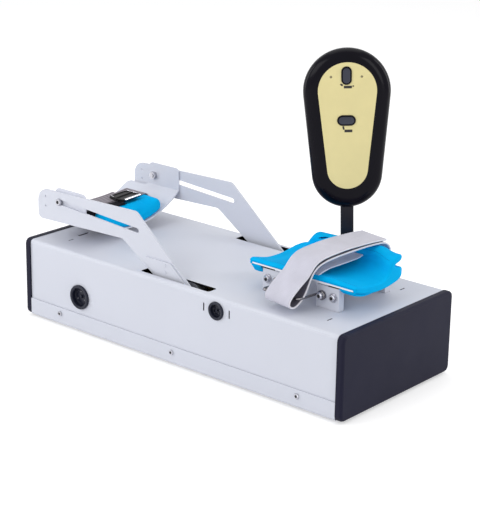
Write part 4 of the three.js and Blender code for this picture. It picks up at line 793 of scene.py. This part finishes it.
def wrapTuck(name, start, stop, depth):
    plan = tuckPlan
    rings = []
    for k in range(plan["rings"] + 1):
        y = lerp(plan["front"], plan["back"], k / plan["rings"])
        full = min(1, plan["lipShare"] + smooth(y, *plan["fills"]))
        hang = depth * full * (1 - plan["thinShare"] * smooth(y, *plan["thins"]))
        top = trayHeight(y, cuffPlan["trayThick"]) - wrapPlan["clear"]
        ring = []
        for angle in turns(plan["around"]):
            c, s = (math.copysign(abs(value) ** plan["roundness"], value)
                    for value in (math.cos(angle), math.sin(angle)))
            ring.append((lerp(start, stop, 0.5 + 0.5 * c), y, top - hang * (0.5 - 0.5 * s)))
        rings.append(ring)
    return loft(name, rings, ["padFoam"], angle=70)


def makeWrap():
    tucks = [wrapTuck(f"wrapTuck{index}", *sizes) for index, sizes in enumerate(tuckPlan["ends"])]
    wrap = joinPieces("cuffWrap", [wrapShell()] + tucks)
    handOver(wrap, "base", "pad_foam", "cuff_pad")


def onFlap(x, height):
    # the place on the flap's front side at a height, and the direction out of it
    upper = wrapTop(x, wrapPlan["seamPoints"])
    rising = next(i for i in range(1, len(upper) - 1)
                  if upper[i].x > wrapPlan["flapFrom"] and upper[i].y < height <= upper[i + 1].y)
    ahead = (upper[rising + 1] - upper[rising - 1]).normalized()
    return wrapPlace(x, upper[rising].x, upper[rising].y), Vector((0, -ahead.y, ahead.x))


# painted shade in the slit of the flap, a dark lens sunk flush in it: places of its ends, half its depth and
# height, and how much of them its tips keep
slitShadePlan = {"x": (121, 136), "z": (171, 174.5), "halfDepth": 0.55, "halfHeight": 1.05, "tipShare": 0.15,
            "rings": 12, "around": 12}
# the seams along the front lip and below the flap's crest: how far from the wrap's ends, their rows, the lip
# seam's place, the crest seam's drop and start, and the spacing and half sizes of the stitches
seamPlan = {"ends": 5, "rows": 83, "lipY": -47, "lipAbove": 150, "crestDrop": 5, "crestFrom": 4,
            "pitch": 2.9, "stitch": (1.05, 0.34, 0.24)}


def makeSlitShade(plan):
    rings = []
    for k in range(plan["rings"] + 1):
        share = k / plan["rings"]
        place, out = onFlap(lerp(*plan["x"], share), lerp(*plan["z"], share))
        swell = plan["tipShare"] + math.sin(share * math.pi)
        side = Vector((1, 0, 0)).cross(out)
        rings.append([place + out * plan["halfDepth"] * swell * math.cos(a)
                      + side * plan["halfHeight"] * swell * math.sin(a) for a in turns(plan["around"])])
    handOver(loft("cuffSlitShade", rings, ["slitShade"], angle=80), "base", "pad_foam")


def makeWrapSeam(plan):
    lip, crest = [], []
    for k in range(plan["rows"] + 1):
        x = lerp(wrapPlan["left"] + plan["ends"], wrapPlan["right"] - plan["ends"], k / plan["rows"])
        upper = wrapTop(x, wrapPlan["seamPoints"])
        near = min((i for i in range(1, len(upper) // 3) if upper[i].y > plan["lipAbove"]),
                   key=lambda i: abs(upper[i].x - plan["lipY"]))
        along = (upper[near + 1] - upper[near - 1]).normalized()
        lip.append((wrapPlace(x, upper[near].x, upper[near].y), Vector((0, -along.y, along.x))))
        if x > wrapPlan["flapEnd"] + plan["crestFrom"]:
            crest.append(onFlap(x, max(point.y for point in upper) - plan["crestDrop"]))
    spots = spotsAlong(lip, plan["pitch"]) + spotsAlong(crest, plan["pitch"])
    handOver(repeatPiece("wrapSeam", spots, plan["stitch"], "threadBlue"), "base", "pad_foam")


# black rubber strips on top of the posts, a painted shadow in the gap under the tray: from x, to x; it lies
# between these depths and heights
postShadeStrips = {"runs": ((98.5, 119), (207.5, 233.5)), "near": 49.9, "far": 48.6, "low": 146.4, "high": 147.9}


def makePostShadeStrips(plan):
    strips = []
    corners = [(plan["near"], plan["low"]), (plan["near"], plan["high"]), (plan["far"], plan["high"]),
               (plan["far"], plan["low"])]
    for run in plan["runs"]:
        rings = [[(x, -y, z) for y, z in corners] for x in run]
        strips.append(loft("postShadeStrips", rings, ["footRubber"]))
    handOver(joinPieces("postShadeStrips", strips), "base", "foot_rubber")


strapPlan = {"left": 159.4, "width": 46, "thick": 2, "skew": 0.165, "pivot": 14, "crest": 69, "reach": 91,
             "points": 150}
# the strap's middle line from its free end: over the flap, round the bail and back under itself
strapShares = [(0.711, 0.993), (0.467, 1.007), (0.067, 1.004), (-0.233, 0.975), (-0.478, 0.928),
               (-0.6, 0.86), (-0.678, 0.764), (-0.756, 0.645), (-0.885, 0.515), (-0.99, 0.4),
               (-1.052, 0.315), (-1.082, 0.235), (-1.065, 0.165), (-1, 0.135), (-0.933, 0.165),
               (-0.856, 0.245), (-0.789, 0.36), (-0.735, 0.503), (-0.688, 0.63), (-0.63, 0.735),
               (-0.54, 0.815), (-0.356, 0.88), (-0.011, 0.925), (0.289, 0.948), (0.556, 0.95),
               (0.689, 0.93), (0.767, 0.862), (0.8, 0.783), (0.79, 0.725)]
# the strap's square of stitches: where it starts and stops from the free end, how far from the edges, and the
# spacing, half sizes and rise of the stitches
strapStitches = {"start": 5, "side": 4, "stop": 30, "pitch": 2.6, "stitch": (0.95, 0.32, 0.2), "proud": 0.06}
# the inner band spans the tray's hollow from the front lip to the flap, through these (y, z) points
bandPlan = {"left": 158, "width": 38, "thick": 1.4, "skew": 0.06, "points": 60,
            "line": ((-51, 157.5), (-46, 159.4), (-41, 160.6), (-33, 161.9), (-25, 162.5), (5, 162.6),
                     (26, 163.4), (34, 165.5))}


def strapSpots(line, path, steps=12):
    # stitch places on the strap: the path holds (run along the line, offset across it) pairs
    plan = strapPlan
    lift = plan["thick"] / 2 + strapStitches["proud"]
    lengths = runLengths(line)

    def onStrap(run, across):
        at = max(i for i in range(len(line) - 1) if lengths[i] <= max(0, run))
        spot = line[at].lerp(line[at + 1], (run - lengths[at]) / (lengths[at + 1] - lengths[at]))
        ahead = (line[at + 1] - line[at]).normalized()
        up = Vector((ahead.y, -ahead.x))
        spot = spot + up * lift
        turned = plan["skew"] * (plan["pivot"] - across)
        place = Vector((plan["left"] + across + plan["skew"] * spot.x, spot.x + turned, spot.y))
        return place, Vector((0, up.x, up.y))

    spots = []
    for (runA, acrossA), (runB, acrossB) in zip(path, path[1:]):
        walk = [onStrap(lerp(runA, runB, share), lerp(acrossA, acrossB, share))
                for share in (k / steps for k in range(steps + 1))]
        spots += spotsAlong(walk, strapStitches["pitch"])
    return spots


def makeCuffStrap(plan, stitches, inner):
    places = [(y * plan["reach"], lidTop + z * plan["crest"]) for y, z in strapShares]
    line = curveThrough(places, plan["points"])
    strap = ribbon("cuffStrap", line, plan["left"], plan["width"], plan["thick"], tapeFinishes, plan["skew"],
                   pivot=plan["pivot"])
    handOver(strap, "base", "cuff_loop_tape", "cuff_strap")
    start, stop, near = stitches["start"], stitches["stop"], stitches["side"]
    far = plan["width"] - near
    spots = strapSpots(line, [(start, near), (start, far), (stop, far), (stop, near), (start, near)])
    rows = repeatPiece("cuffStrapStitches", spots, stitches["stitch"], "threadPale")
    handOver(rows, "base", "cuff_loop_tape")
    over = curveThrough(inner["line"], inner["points"])
    band = ribbon("cuffInnerBand", over[::-1], inner["left"], inner["width"], inner["thick"], tapeFinishes,
                  inner["skew"])
    handOver(band, "base", "cuff_loop_tape")


# the bail hangs on two bolts with heads of that radius; its front bar runs between the corners
bailPlan = {"wire": 1.75, "eyes": (126, 199), "eyeRise": 17.5, "corners": (133, 191.5), "rise": 19.5,
            "reach": 40, "postHalf": 50, "bend": 6, "head": 5, "shank": 2.5, "washer": 1.4, "gap": 0.3,
            "around": 32}


def makeBail(plan):
    wire, gap = plan["wire"], plan["gap"]
    y = -(plan["postHalf"] + 2 * gap + plan["washer"] + wire)
    z = lidTop + plan["eyeRise"]
    beside = plan["head"] + 2 * gap + wire
    radius = plan["shank"] + gap + wire
    left, right = plan["eyes"]
    first, last = Vector((left + beside, y, z)), Vector((right - beside, y, z))
    front = -plan["postHalf"] - plan["reach"]
    one, other = (Vector((x, front, lidTop + plan["rise"])) for x in plan["corners"])
    route = roundCorner(first, one, other, plan["bend"]) + roundCorner(one, other, last, plan["bend"])
    pieces = [tube("bailWire", [first] + route + [last], wire, "bailSteel")]
    for x, end, side in ((left, first, 1), (right, last, -1)):
        loop = [Vector((x + radius * math.cos(turn), y, z + radius * math.sin(turn)))
                for turn in turns(plan["around"])]
        pieces.append(tube("bailEye", loop, wire, "bailSteel", closed=True))
        pieces.append(tube("bailLink", [Vector((x + side * radius, y, z)), end], wire, "bailSteel"))
    handOver(joinPieces("cuffBail", pieces), "base", "screw_steel", "cuff_bail")


makeWrap()
makeSlitShade(slitShadePlan)
makeWrapSeam(seamPlan)
makePostShadeStrips(postShadeStrips)
makeCuffStrap(strapPlan, strapStitches, bandPlan)
makeBail(bailPlan)
print("cuff dressed")

# wrist carriage, measured from its two bolts

carriage = {"x": -232, "z": 176.6, "bottom": -48.6, "radius": 152, "sheet": 2, "clear": 0.3}
# the pad's section: flat to that depth, a round shoulder beyond it, a dish in its middle and a small bulge at
# its ends; it falls away towards its left end
wristPadPlan = {"left": -43, "right": 48, "half": 60, "round": 4.5, "flat": 50, "shoulder": 151,
                "rise": 8.6, "dish": 3.1, "bulge": 0.1, "bulgeHeight": 146.5, "floorInset": 0.6,
                "stations": 30, "taper": 30, "leftShare": 0.5, "sideSteps": 10, "flatSteps": 24,
                "floorSteps": 30}
# its room: the trough's half depth, the strap's edge with the fade beside it, and how far each side may swell
padRoom = {"wall": 66, "strapEdge": 25, "fade": 7, "under": 0.15, "beside": 1.4, "left": 1, "right": 0.6,
           "ends": 0.3}
# how the pad is swollen as cloth: remesh size, pressure, frames and the furthest move
swelling = {"voxel": 3.5, "pressure": 4, "frames": 20, "cap": 4}


def troughHeight(y, below=0):
    radius = carriage["radius"] - carriage["sheet"] + below
    return carriage["bottom"] + carriage["radius"] - math.sqrt(radius ** 2 - y ** 2)


def padTop(y, lift):
    plan = wristPadPlan
    if abs(y) <= plan["flat"]:
        return plan["shoulder"] + plan["rise"] + lift - plan["dish"] * (1 - (y / plan["flat"]) ** 2)
    share = min(1, (abs(y) - plan["flat"]) / (plan["half"] - plan["flat"] + lift))
    return plan["shoulder"] + (plan["rise"] + lift) * math.sqrt(1 - share ** 2)


def padShare(along):
    # how full the pad is: it falls away towards its left end
    plan = wristPadPlan
    return lerp(plan["leftShare"], 1, smooth(along, plan["left"], plan["left"] + plan["taper"]))


def overPad(lift, last=math.inf):
    # (y, z) points over the pad at a height above it, from its front up to a depth
    plan = wristPadPlan
    turn = plan["half"] - plan["flat"] + lift
    steps = plan["sideSteps"]
    side = [plan["flat"] + turn * math.sin(k / steps * math.pi / 2) for k in range(steps + 1)]
    middle = [lerp(-plan["flat"], plan["flat"], k / plan["flatSteps"]) for k in range(1, plan["flatSteps"])]
    return [Vector((y, padTop(y, lift))) for y in [-y for y in reversed(side)] + middle + side if y <= last]


def inflate(piece, plan, keep):
    # cloth under pressure swells the shape; no point moves past the cap or out of its room
    remesh = piece.modifiers.new("remesh", "REMESH")
    remesh.mode = "VOXEL"
    remesh.voxel_size = plan["voxel"] * mm
    settle(piece)
    before = [vertex.co.copy() for vertex in piece.data.vertices]
    cloth = piece.modifiers.new("cloth", "CLOTH")
    cloth.settings.use_pressure = True
    cloth.settings.uniform_pressure_force = plan["pressure"]
    cloth.settings.effector_weights.gravity = 0
    for step in range(plan["frames"]):
        bpy.context.scene.frame_set(step + 1)
    settle(piece)
    bpy.context.scene.frame_set(1)
    for vertex, start in zip(piece.data.vertices, before):
        move = vertex.co - start
        move *= min(1, plan["cap"] * mm / max(move.length, 1e-9))
        vertex.co = keep((start + move) / mm) * mm
    subdivision = piece.modifiers.new("smoothing", "SUBSURF")
    subdivision.levels = subdivision.render_levels = 1
    settle(piece)
    piece.data.shade_smooth()


def padFloor(y):
    return carriage["z"] + troughHeight(y) + carriage["clear"]


def keepInCradle(spot):
    # above the trough, under the strap, and only a little fuller beside it
    plan, room = wristPadPlan, padRoom
    along = spot.x - carriage["x"]
    floor = padFloor(max(-room["wall"], min(room["wall"], spot.y)))
    fuller = room["under"] + room["beside"] * smooth(max(along - room["strapEdge"], 0), 0, room["fade"])
    top = lerp(floor, padTop(spot.y, fuller), padShare(along))
    low, high = carriage["x"] + plan["left"] - room["left"], carriage["x"] + plan["right"] + room["right"]
    end = plan["half"] + room["ends"]
    return Vector((min(max(spot.x, low), high), min(max(spot.y, -end), end), max(floor, min(spot.z, top))))


def makeWristPad(plan):
    half, bulge = plan["half"] - plan["floorInset"], plan["half"] + plan["bulge"]
    depths = [lerp(half, -half, k / plan["floorSteps"]) for k in range(plan["floorSteps"] + 1)]
    floor = [Vector((y, padFloor(y))) for y in depths]
    back, front = Vector((bulge, plan["bulgeHeight"])), Vector((-bulge, plan["bulgeHeight"]))
    section = overPad(0) + [back] + floor + [front]
    rings = []
    for along, inset in roundedEnds(plan["left"], plan["right"], plan["round"], plan["stations"]):
        rings.append([(carriage["x"] + along, spot.x, lerp(padFloor(spot.x), spot.y, padShare(along)))
                      for spot in drawnIn(section, inset)])
    pad = loft("wristPad", rings, ["padFoam"], angle=60)
    inflate(pad, swelling, keepInCradle)
    handOver(pad, "wrist_cradle", "pad_foam", "wrist_pad")


wristStrapPlan = {"left": -18, "width": 38, "thick": 1.6, "slotY": 66, "above": 0.5, "below": 0.3,
                  "underSteps": 24, "points": 190, "ridge": 0.15}
# the free end lies back over the strap, and black webbing holds the buckle: finish, height over the pad, last
# depth, left edge, width, thickness, skew and ridge
strapEnds = {"wristStrapTail": ("wristWebbing", 3.1, 27, -18, 28, 1.5, -0.08, 0.15),
             "wristStrapAnchor": ("blackWebbing", 2.9, 4, 16.5, 17, 1.6, 0, 0.1)}


def makeWristStrap(plan):
    half, slot, steps = plan["thick"] / 2, plan["slotY"], plan["underSteps"]
    drop = carriage["z"] + troughHeight(slot)
    under = [Vector((y, carriage["z"] + troughHeight(y, carriage["sheet"]) - plan["below"] - half))
             for y in (lerp(slot, -slot, k / steps) for k in range(steps + 1))]
    back, front = Vector((slot, drop + half)), Vector((-slot, drop + half))
    line = overPad(plan["above"] + half) + [back] + under + [front]
    line = curveThrough(line + [line[0]], plan["points"])[:-1]
    strap = ribbon("wristStrap", line[::-1], carriage["x"] + plan["left"], plan["width"], plan["thick"],
                   ["wristWebbing"] * 3, closed=True, ridge=plan["ridge"])
    handOver(strap, "wrist_cradle", "wrist_webbing", "wrist_strap")
    for name, (finish, height, last, left, width, thick, skew, ridge) in strapEnds.items():
        end = ribbon(name, overPad(height, last)[::-1], carriage["x"] + left, width, thick, [finish] * 3,
                     skew, ridge=ridge)
        handOver(end, "wrist_cradle", "wrist_webbing")


# where the buckle lies against its solid, its height above the pad, its rod and round corners, the bar that
# the webbing winds round, with the heights of this webbing as shares of the rod, and then its chrome roller
# and the thin chrome wires on two edges of the frame, which are painted highlights
bucklePlan = {"ahead": 10, "forward": 8, "lift": 4.3, "rod": 1.7, "clear": 0.3, "corner": 4, "barFrom": 12,
              "barShare": 0.9, "barLift": 0.5, "fillShares": (-0.7, 0.35)}
rollerPlan = {"radius": 1.5, "out": 0.4, "short": 1, "lift": 1.4}
edgeHighlightPlan = {"radius": 0.45, "along": 9, "depth": 3, "out": 0.3}
rimHighlightPlan = {"radius": 0.4, "left": 3, "right": 8}


def makeBuckle(plan):
    move = Vector((plan["ahead"], -plan["forward"], 0))
    low, high = [corner * 1000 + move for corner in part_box("wrist_buckle")]
    near, far = padTop(low.y, plan["lift"]), padTop(high.y, plan["lift"])
    rod = plan["rod"]
    left, right, front, back = low.x + rod, high.x - rod, low.y + rod, high.y - rod

    def raised(x, y, lift=0.0):
        level = lerp(near, far, (y - low.y) / (high.y - low.y)) + rod + plan["clear"]
        return Vector((x, y, level + lift))

    def rail(name, start, end, radius, finish, lift, steps=8):
        start, end = raised(*start, lift), raised(*end, lift)
        return tube(name, [start.lerp(end, k / steps) for k in range(steps + 1)], radius, finish)

    around = [(left, front), (right, front), (right, back), (left, back)]
    corners = [raised(x, y) for x, y in around]
    loop = []
    for i, here in enumerate(corners):
        loop += roundCorner(corners[i - 1], here, corners[(i + 1) % 4], plan["corner"], steps=6)
    fill = [[raised(x, y, rod * share) for x, y in around] for share in plan["fillShares"]]
    bar = left + plan["barFrom"]
    parts = [tube("buckleFrame", loop, rod, "bucklePlastic", sides=16, closed=True),
             loft("buckleFill", fill, ["bucklePlastic"]),
             rail("buckleBar", (bar, front), (bar, back), rod * plan["barShare"], "bucklePlastic",
                  plan["barLift"])]
    handOver(joinPieces("wristBuckle", parts), "wrist_cradle", "buckle_plastic", "wrist_buckle")
    roller, edge, rim = rollerPlan, edgeHighlightPlan, rimHighlightPlan
    over, outer = rod + plan["clear"], right + roller["out"]
    shine = [rail("buckleRoller", (outer, front + roller["short"]), (outer, back - roller["short"]),
                  roller["radius"], "barChrome", roller["lift"]),
             # two thin chrome wires on the frame's edges: painted highlights on the black plastic
             rail("buckleEdgeHighlight", (left, front + edge["depth"]), (left + edge["along"], front - edge["out"]),
                  edge["radius"], "barChrome", over),
             rail("buckleRimHighlight", (left + rim["left"], back), (right - rim["right"], back), rim["radius"],
                  "barChrome", over)]
    handOver(joinPieces("wristBuckleBar", shine), "wrist_cradle", "screw_steel")


makeWristPad(wristPadPlan)
makeWristStrap(wristStrapPlan)
makeBuckle(bucklePlan)
print("wrist carriage dressed")

# handset, built facing the front with the stalk's foot at the origin, then turned and leaned

stalkPlan = {"x": 141.1, "y": 77, "turn": 40.65, "lean": 2.05, "length": 94}
# both shells: two round ends, half the depth and, out from the parting line, the insets of a groove, a
# straight rim and the roll of the edge
shellPlan = {"head": 57, "headZ": 156, "tail": 46.5, "tailZ": 46.5, "half": 13, "around": 200,
             "parting": 0.15, "groove": (0.9, 0.25), "straight": 0.35, "roll": 15.5, "rollSteps": 16,
             "rollShare": 0.9}
facePlan = {"head": 38, "headZ": 158.4, "tail": 26.5, "tailZ": 54.6, "thick": 0.7, "bevel": 0.12}
# the step down into the place of the film: inset from its outline and drop below the shell's front
filmSteps = ((-0.3, 0), (-0.2, 0.25), (-0.15, 0.65), (-0.15, 1.1))
toPlace = (Matrix.Translation((stalkPlan["x"], stalkPlan["y"], lidTop))
           @ Matrix.Rotation(math.radians(stalkPlan["turn"]), 4, "Z")
           @ Matrix.Rotation(math.radians(-stalkPlan["lean"]), 4, "Y"))


def setOnStalk(points):
    return [tuple(toPlace @ Vector(point)) for point in points]


def eggLoop(plan, inset, count, steps=60):
    # outline of two round ends and their tangents, at even steps from the top
    lean = math.asin((plan["head"] - plan["tail"]) / (plan["headZ"] - plan["tailZ"]))
    corners = []
    for end, start, sweep in (("head", -lean, math.pi + 2 * lean),
                              ("tail", math.pi + lean, math.pi - 2 * lean)):
        radius = plan[end] - inset
        middle = stalkPlan["length"] + plan[end + "Z"]
        angles = [start + sweep * k / steps for k in range(steps + 1)]
        corners += [Vector((radius * math.cos(angle), middle + radius * math.sin(angle))) for angle in angles]
    return evenWalk(corners + [corners[0]], count, closed=True)


def shellRings(side):
    # half of the shell from its parting line; side is -1 for the front and 1 for the back
    plan = shellPlan
    rim = plan["parting"] + plan["straight"]
    rings = [(inset, plan["parting"]) for inset in plan["groove"]] + [(0, rim)]
    for k in range(1, plan["rollSteps"] + 1):
        angle = k / plan["rollSteps"] * math.pi / 2
        rings.append((plan["roll"] * (1 - math.cos(angle)),
                      rim + (plan["half"] - rim) * math.sin(angle) ** plan["rollShare"]))
    return [[(u, side * depth, w) for u, w in eggLoop(plan, inset, plan["around"])] for inset, depth in rings]


def makeShells(plan):
    for side, name, node in ((-1, "handsetFrontShell", "handset_front"),
                             (1, "handsetBackShell", "handset_back")):
        rings = shellRings(side)
        if side < 0:
            rings += [[(u, drop - plan["half"], w) for u, w in eggLoop(facePlan, inset, plan["around"])]
                      for inset, drop in filmSteps]
        shell = loft(name, [setOnStalk(ring) for ring in rings], ["handsetGloss"], angle=35)
        handOver(shell, "base", "handset_gloss", node)


def flatPiece(name, loops, proud, thick, finish, bevel=0.0):
    # a flat shape in the handset's face plane, its top that far in front of the shell
    data = bpy.data.curves.new(name, "CURVE")
    data.dimensions = "2D"
    data.fill_mode = "BOTH"
    data.extrude = (thick / 2 - bevel) * mm
    data.bevel_depth = bevel * mm
    data.bevel_resolution = 3
    for loop in loops:
        spline = data.splines.new("POLY")
        spline.points.add(len(loop) - 1)
        for point, (u, w) in zip(spline.points, loop):
            point.co = (u * mm, w * mm, 0, 1)
        spline.use_cyclic_u = True
    flat = addObject(name, data)
    mesh = evaluatedMesh(flat)
    bpy.data.objects.remove(flat)
    ahead = shellPlan["half"] + proud - thick / 2
    mesh.transform(Matrix.Translation((0, -ahead * mm, 0)) @ Matrix.Rotation(math.radians(90), 4, "X"))
    mesh.transform(Matrix.Translation(toPlace.translation * mm) @ toPlace.to_3x3().to_4x4())
    mesh.materials.clear()
    mesh.materials.append(materials[finish])
    return closeMesh(addObject(name, mesh), angle=30)


def pillLoop(sizes, grow=0.0, steps=24, tiny=1e-9):
    # a slot with round ends, upright or lying; half turns have no run to add across them
    width, height = sizes["width"], sizes["height"]
    radius = min(width, height) / 2 + grow
    runU, runW = max(0, (width - height) / 2), max(0, (height - width) / 2)
    base = stalkPlan["length"] + sizes["w"]
    loop = []
    for angle in turns(2 * steps):
        c, s = math.cos(angle), math.sin(angle)
        loop.append((sizes["u"] + radius * c + math.copysign(runU, c) * (abs(c) > tiny),
                     base + radius * s + math.copysign(runW, s) * (abs(s) > tiny)))
    return loop


def discLoop(u, w, radius, steps=28):
    return [(u + radius * math.cos(a), stalkPlan["length"] + w + radius * math.sin(a)) for a in turns(steps)]


buttonPlan = {
    "buttonUp": {"u": -1.2, "w": 179.2, "width": 12.3, "height": 22.7, "node": "button_up"},
    "buttonDown": {"u": -1.3, "w": 120.1, "width": 22.8, "height": 12.6, "node": "button_down"},
}
# the buttons' rims and caps, and the lenses of the lamps: how proud or sunk they are, thickness and bevel
rimSizes = {"gap": 0.35, "proud": 1.3, "thick": 3.6, "bevel": 0.7}
capSizes = {"inset": 1.9, "proud": 1.75, "thick": 1.4, "bevel": 0.5}
lensPlan = {"places": ((-21.2, 177.6), (18.5, 177.6)), "radius": 1.6, "hole": 1.75, "sunk": 0.1, "thick": 1.2,
            "bevel": 0.3}


def makeFace(plan, lens, rim, cap):
    holes = [pillLoop(sizes, rim["gap"]) for sizes in buttonPlan.values()]
    holes += [discLoop(u, w, lens["hole"]) for u, w in lens["places"]]
    outline = eggLoop(plan, 0, shellPlan["around"])
    film = flatPiece("faceFilm", [outline] + holes, 0, plan["thick"], "faceFilm", plan["bevel"])
    handOver(film, "base", "face_cream", "faceplate")
    for index, (u, w) in enumerate(lens["places"]):
        disc = flatPiece(f"lampLens{index}", [discLoop(u, w, lens["radius"])], -lens["sunk"], lens["thick"],
                         "lampLens", lens["bevel"])
        handOver(disc, "base", "handset_gloss")
    for name, sizes in buttonPlan.items():
        body = flatPiece(name, [pillLoop(sizes)], rim["proud"], rim["thick"], "handsetGloss", rim["bevel"])
        handOver(body, sizes["node"], "handset_gloss", sizes["node"])
        inner = flatPiece(name + "Cap", [pillLoop(sizes, -cap["inset"])], cap["proud"], cap["thick"],
                          "buttonNavy", cap["bevel"])
        handOver(inner, sizes["node"], "handset_gloss")


# plain pictures of the arm held out and folded, no words: bars by place, width, height and angle
printPlan = {"proud": 0.12, "thick": 0.24,
             "bars": ((0.5, 164.2, 10.5, 3.4, 0), (-7.6, 167.2, 3.6, 2.4, -32), (7.4, 165.4, 2.0, 1.8, 0),
                      (1.2, 106.1, 10.2, 3.6, 0), (-5.2, 110.1, 2.2, 4.4, 14))}


def tiltedBar(u, w, width, height, angle):
    c, s = math.cos(math.radians(angle)), math.sin(math.radians(angle))
    corners = [(-width / 2, -height / 2), (width / 2, -height / 2), (width / 2, height / 2),
               (-width / 2, height / 2)]
    return [(u + x * c - z * s, stalkPlan["length"] + w + x * s + z * c) for x, z in corners]


def makePrint(plan):
    ink = flatPiece("facePrint", [tiltedBar(*bar) for bar in plan["bars"]], plan["proud"], plan["thick"],
                    "printInk")
    handOver(ink, "base", "handset_gloss")


makeShells(shellPlan)
makeFace(facePlan, lensPlan, rimSizes, capSizes)
makePrint(printPlan)
print("handset dressed")

# sockets on the front, turned about their own axis

# place, radii and depths of each, and its ring of pins
socketPlan = {
    "powerInlet": {
        "x": -175.4, "z": 54.1, "flange": 17.5, "proud": 3.2, "barrel": 14, "depth": 24, "bowl": 13.2,
        "bowlDepth": 7.5, "post": 2.2, "pin": 1.5, "pins": 3, "pinRing": 7.4, "node": "power_inlet"},
    "handsetSocket": {
        "x": 77.35, "z": 98.2, "flange": 12.5, "proud": 2.6, "barrel": 9.5, "depth": 18, "bowl": 8.6,
        "bowlDepth": 6, "post": 1.5, "pin": 0.9, "pins": 5, "pinRing": 4.9, "node": "handset_socket"},
}
# the outline that is turned, from the back to the middle of the bowl's floor: a radius by name, its share and
# a step, then a height by name and a step; the seat is the back of the flange
socketOutline = [("middle", 1, 0.4, "depth", 0), ("barrel", 1, 0, "depth", 0), ("barrel", 1, 0, "seat", 0),
                 ("flange", 1, 0, "seat", 0), ("flange", 1, 0, "face", 1.2),
                 ("flange", 1, -0.35, "face", 0.45), ("flange", 1, -1.1, "face", 0),
                 ("bowl", 1, 1.2, "face", 0.1), ("bowl", 1, 0.5, "face", 0.3), ("bowl", 1, 0, "face", 0.9),
                 ("bowl", 1, -0.2, "floor", -1), ("bowl", 1, -1, "floor", 0), ("bowl", 0.78, 0, "floor", 0),
                 ("bowl", 0.74, 0, "floor", -1.3), ("bowl", 0.68, 0, "floor", -1.3),
                 ("bowl", 0.64, 0, "floor", 0), ("post", 1, 0.5, "floor", 0), ("post", 1, 0, "floor", -0.6),
                 ("post", 0.9, 0, "floor", -3), ("post", 0.6, 0, "floor", -3.4),
                 ("middle", 1, 0.2, "floor", -3.5)]
socketCommon = {"gap": 0.3, "around": 72, "pinShare": 0.6, "pinHalf": 1.6, "pinRise": 1}


def makeSocket(name, plan, shared):
    face = -plan["proud"] - shared["gap"]
    floor = face + plan["bowlDepth"]
    heights = {"depth": plan["depth"], "seat": -shared["gap"], "face": face, "floor": floor}
    rings = []
    for part, share, wider, level, higher in socketOutline:
        radius = plan.get(part, 0) * share + wider
        y = frontFace + heights[level] + higher
        rings.append([(plan["x"] + radius * math.cos(a), y, plan["z"] + radius * math.sin(a))
                      for a in turns(shared["around"])])
    handOver(loft(name, rings, ["socketPlastic"], angle=32), "base", "socket_plastic", plan["node"])
    ring, y = plan["pinRing"], frontFace + floor - shared["pinRise"]
    spots = [(Vector((plan["x"] + ring * math.cos(a), y, plan["z"] + ring * math.sin(a))), Vector((0, -1, 0)),
              Vector((1, 0, 0))) for a in (math.pi / 2 + turn for turn in turns(plan["pins"]))]
    radius = plan["pin"] * shared["pinShare"]
    pins = repeatPiece(name + "Pins", spots, (radius, radius, shared["pinHalf"]), "screwSteel", around=12)
    handOver(pins, "base", "screw_steel")


for name, plan in socketPlan.items():
    makeSocket(name, plan, socketCommon)

# dark hexagons in the screw heads, painted shade at the floor of their sockets: how the nodes' names begin,
# body, radius, half thickness and depth below the head
headSocketShades = [(("cover_screw",), "base", 1.85, 0.35, 0.5),
               (("cuff_bolt", "bail_bolt"), "base", 2.3, 0.45, 0.65),
               (("carriage_bolt",), "wrist_slider", 2.45, 0.5, 0.8)]


def makeHeadSocketShades(index, group):
    starts, body, radius, thick, depth = group
    spots = []
    for name in (row["node"] for row in frame["record"]["subparts"] if row["node"].startswith(starts)):
        low, high = [corner * 1000 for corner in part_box(name)]
        side = 1 if "back" in name else -1
        y = (high.y if side > 0 else low.y) - side * depth
        spots.append((Vector(((low.x + high.x) / 2, y, (low.z + high.z) / 2)), Vector((0, side, 0)),
                      Vector((1, 0, 0))))
    shadeHexagons = repeatPiece(f"headSocketShades{index}", spots, (radius, radius, thick), "paintedHoleShade", around=6)
    handOver(shadeHexagons, body, "screw_steel")


for index, group in enumerate(headSocketShades):
    makeHeadSocketShades(index, group)
print("sockets dressed")
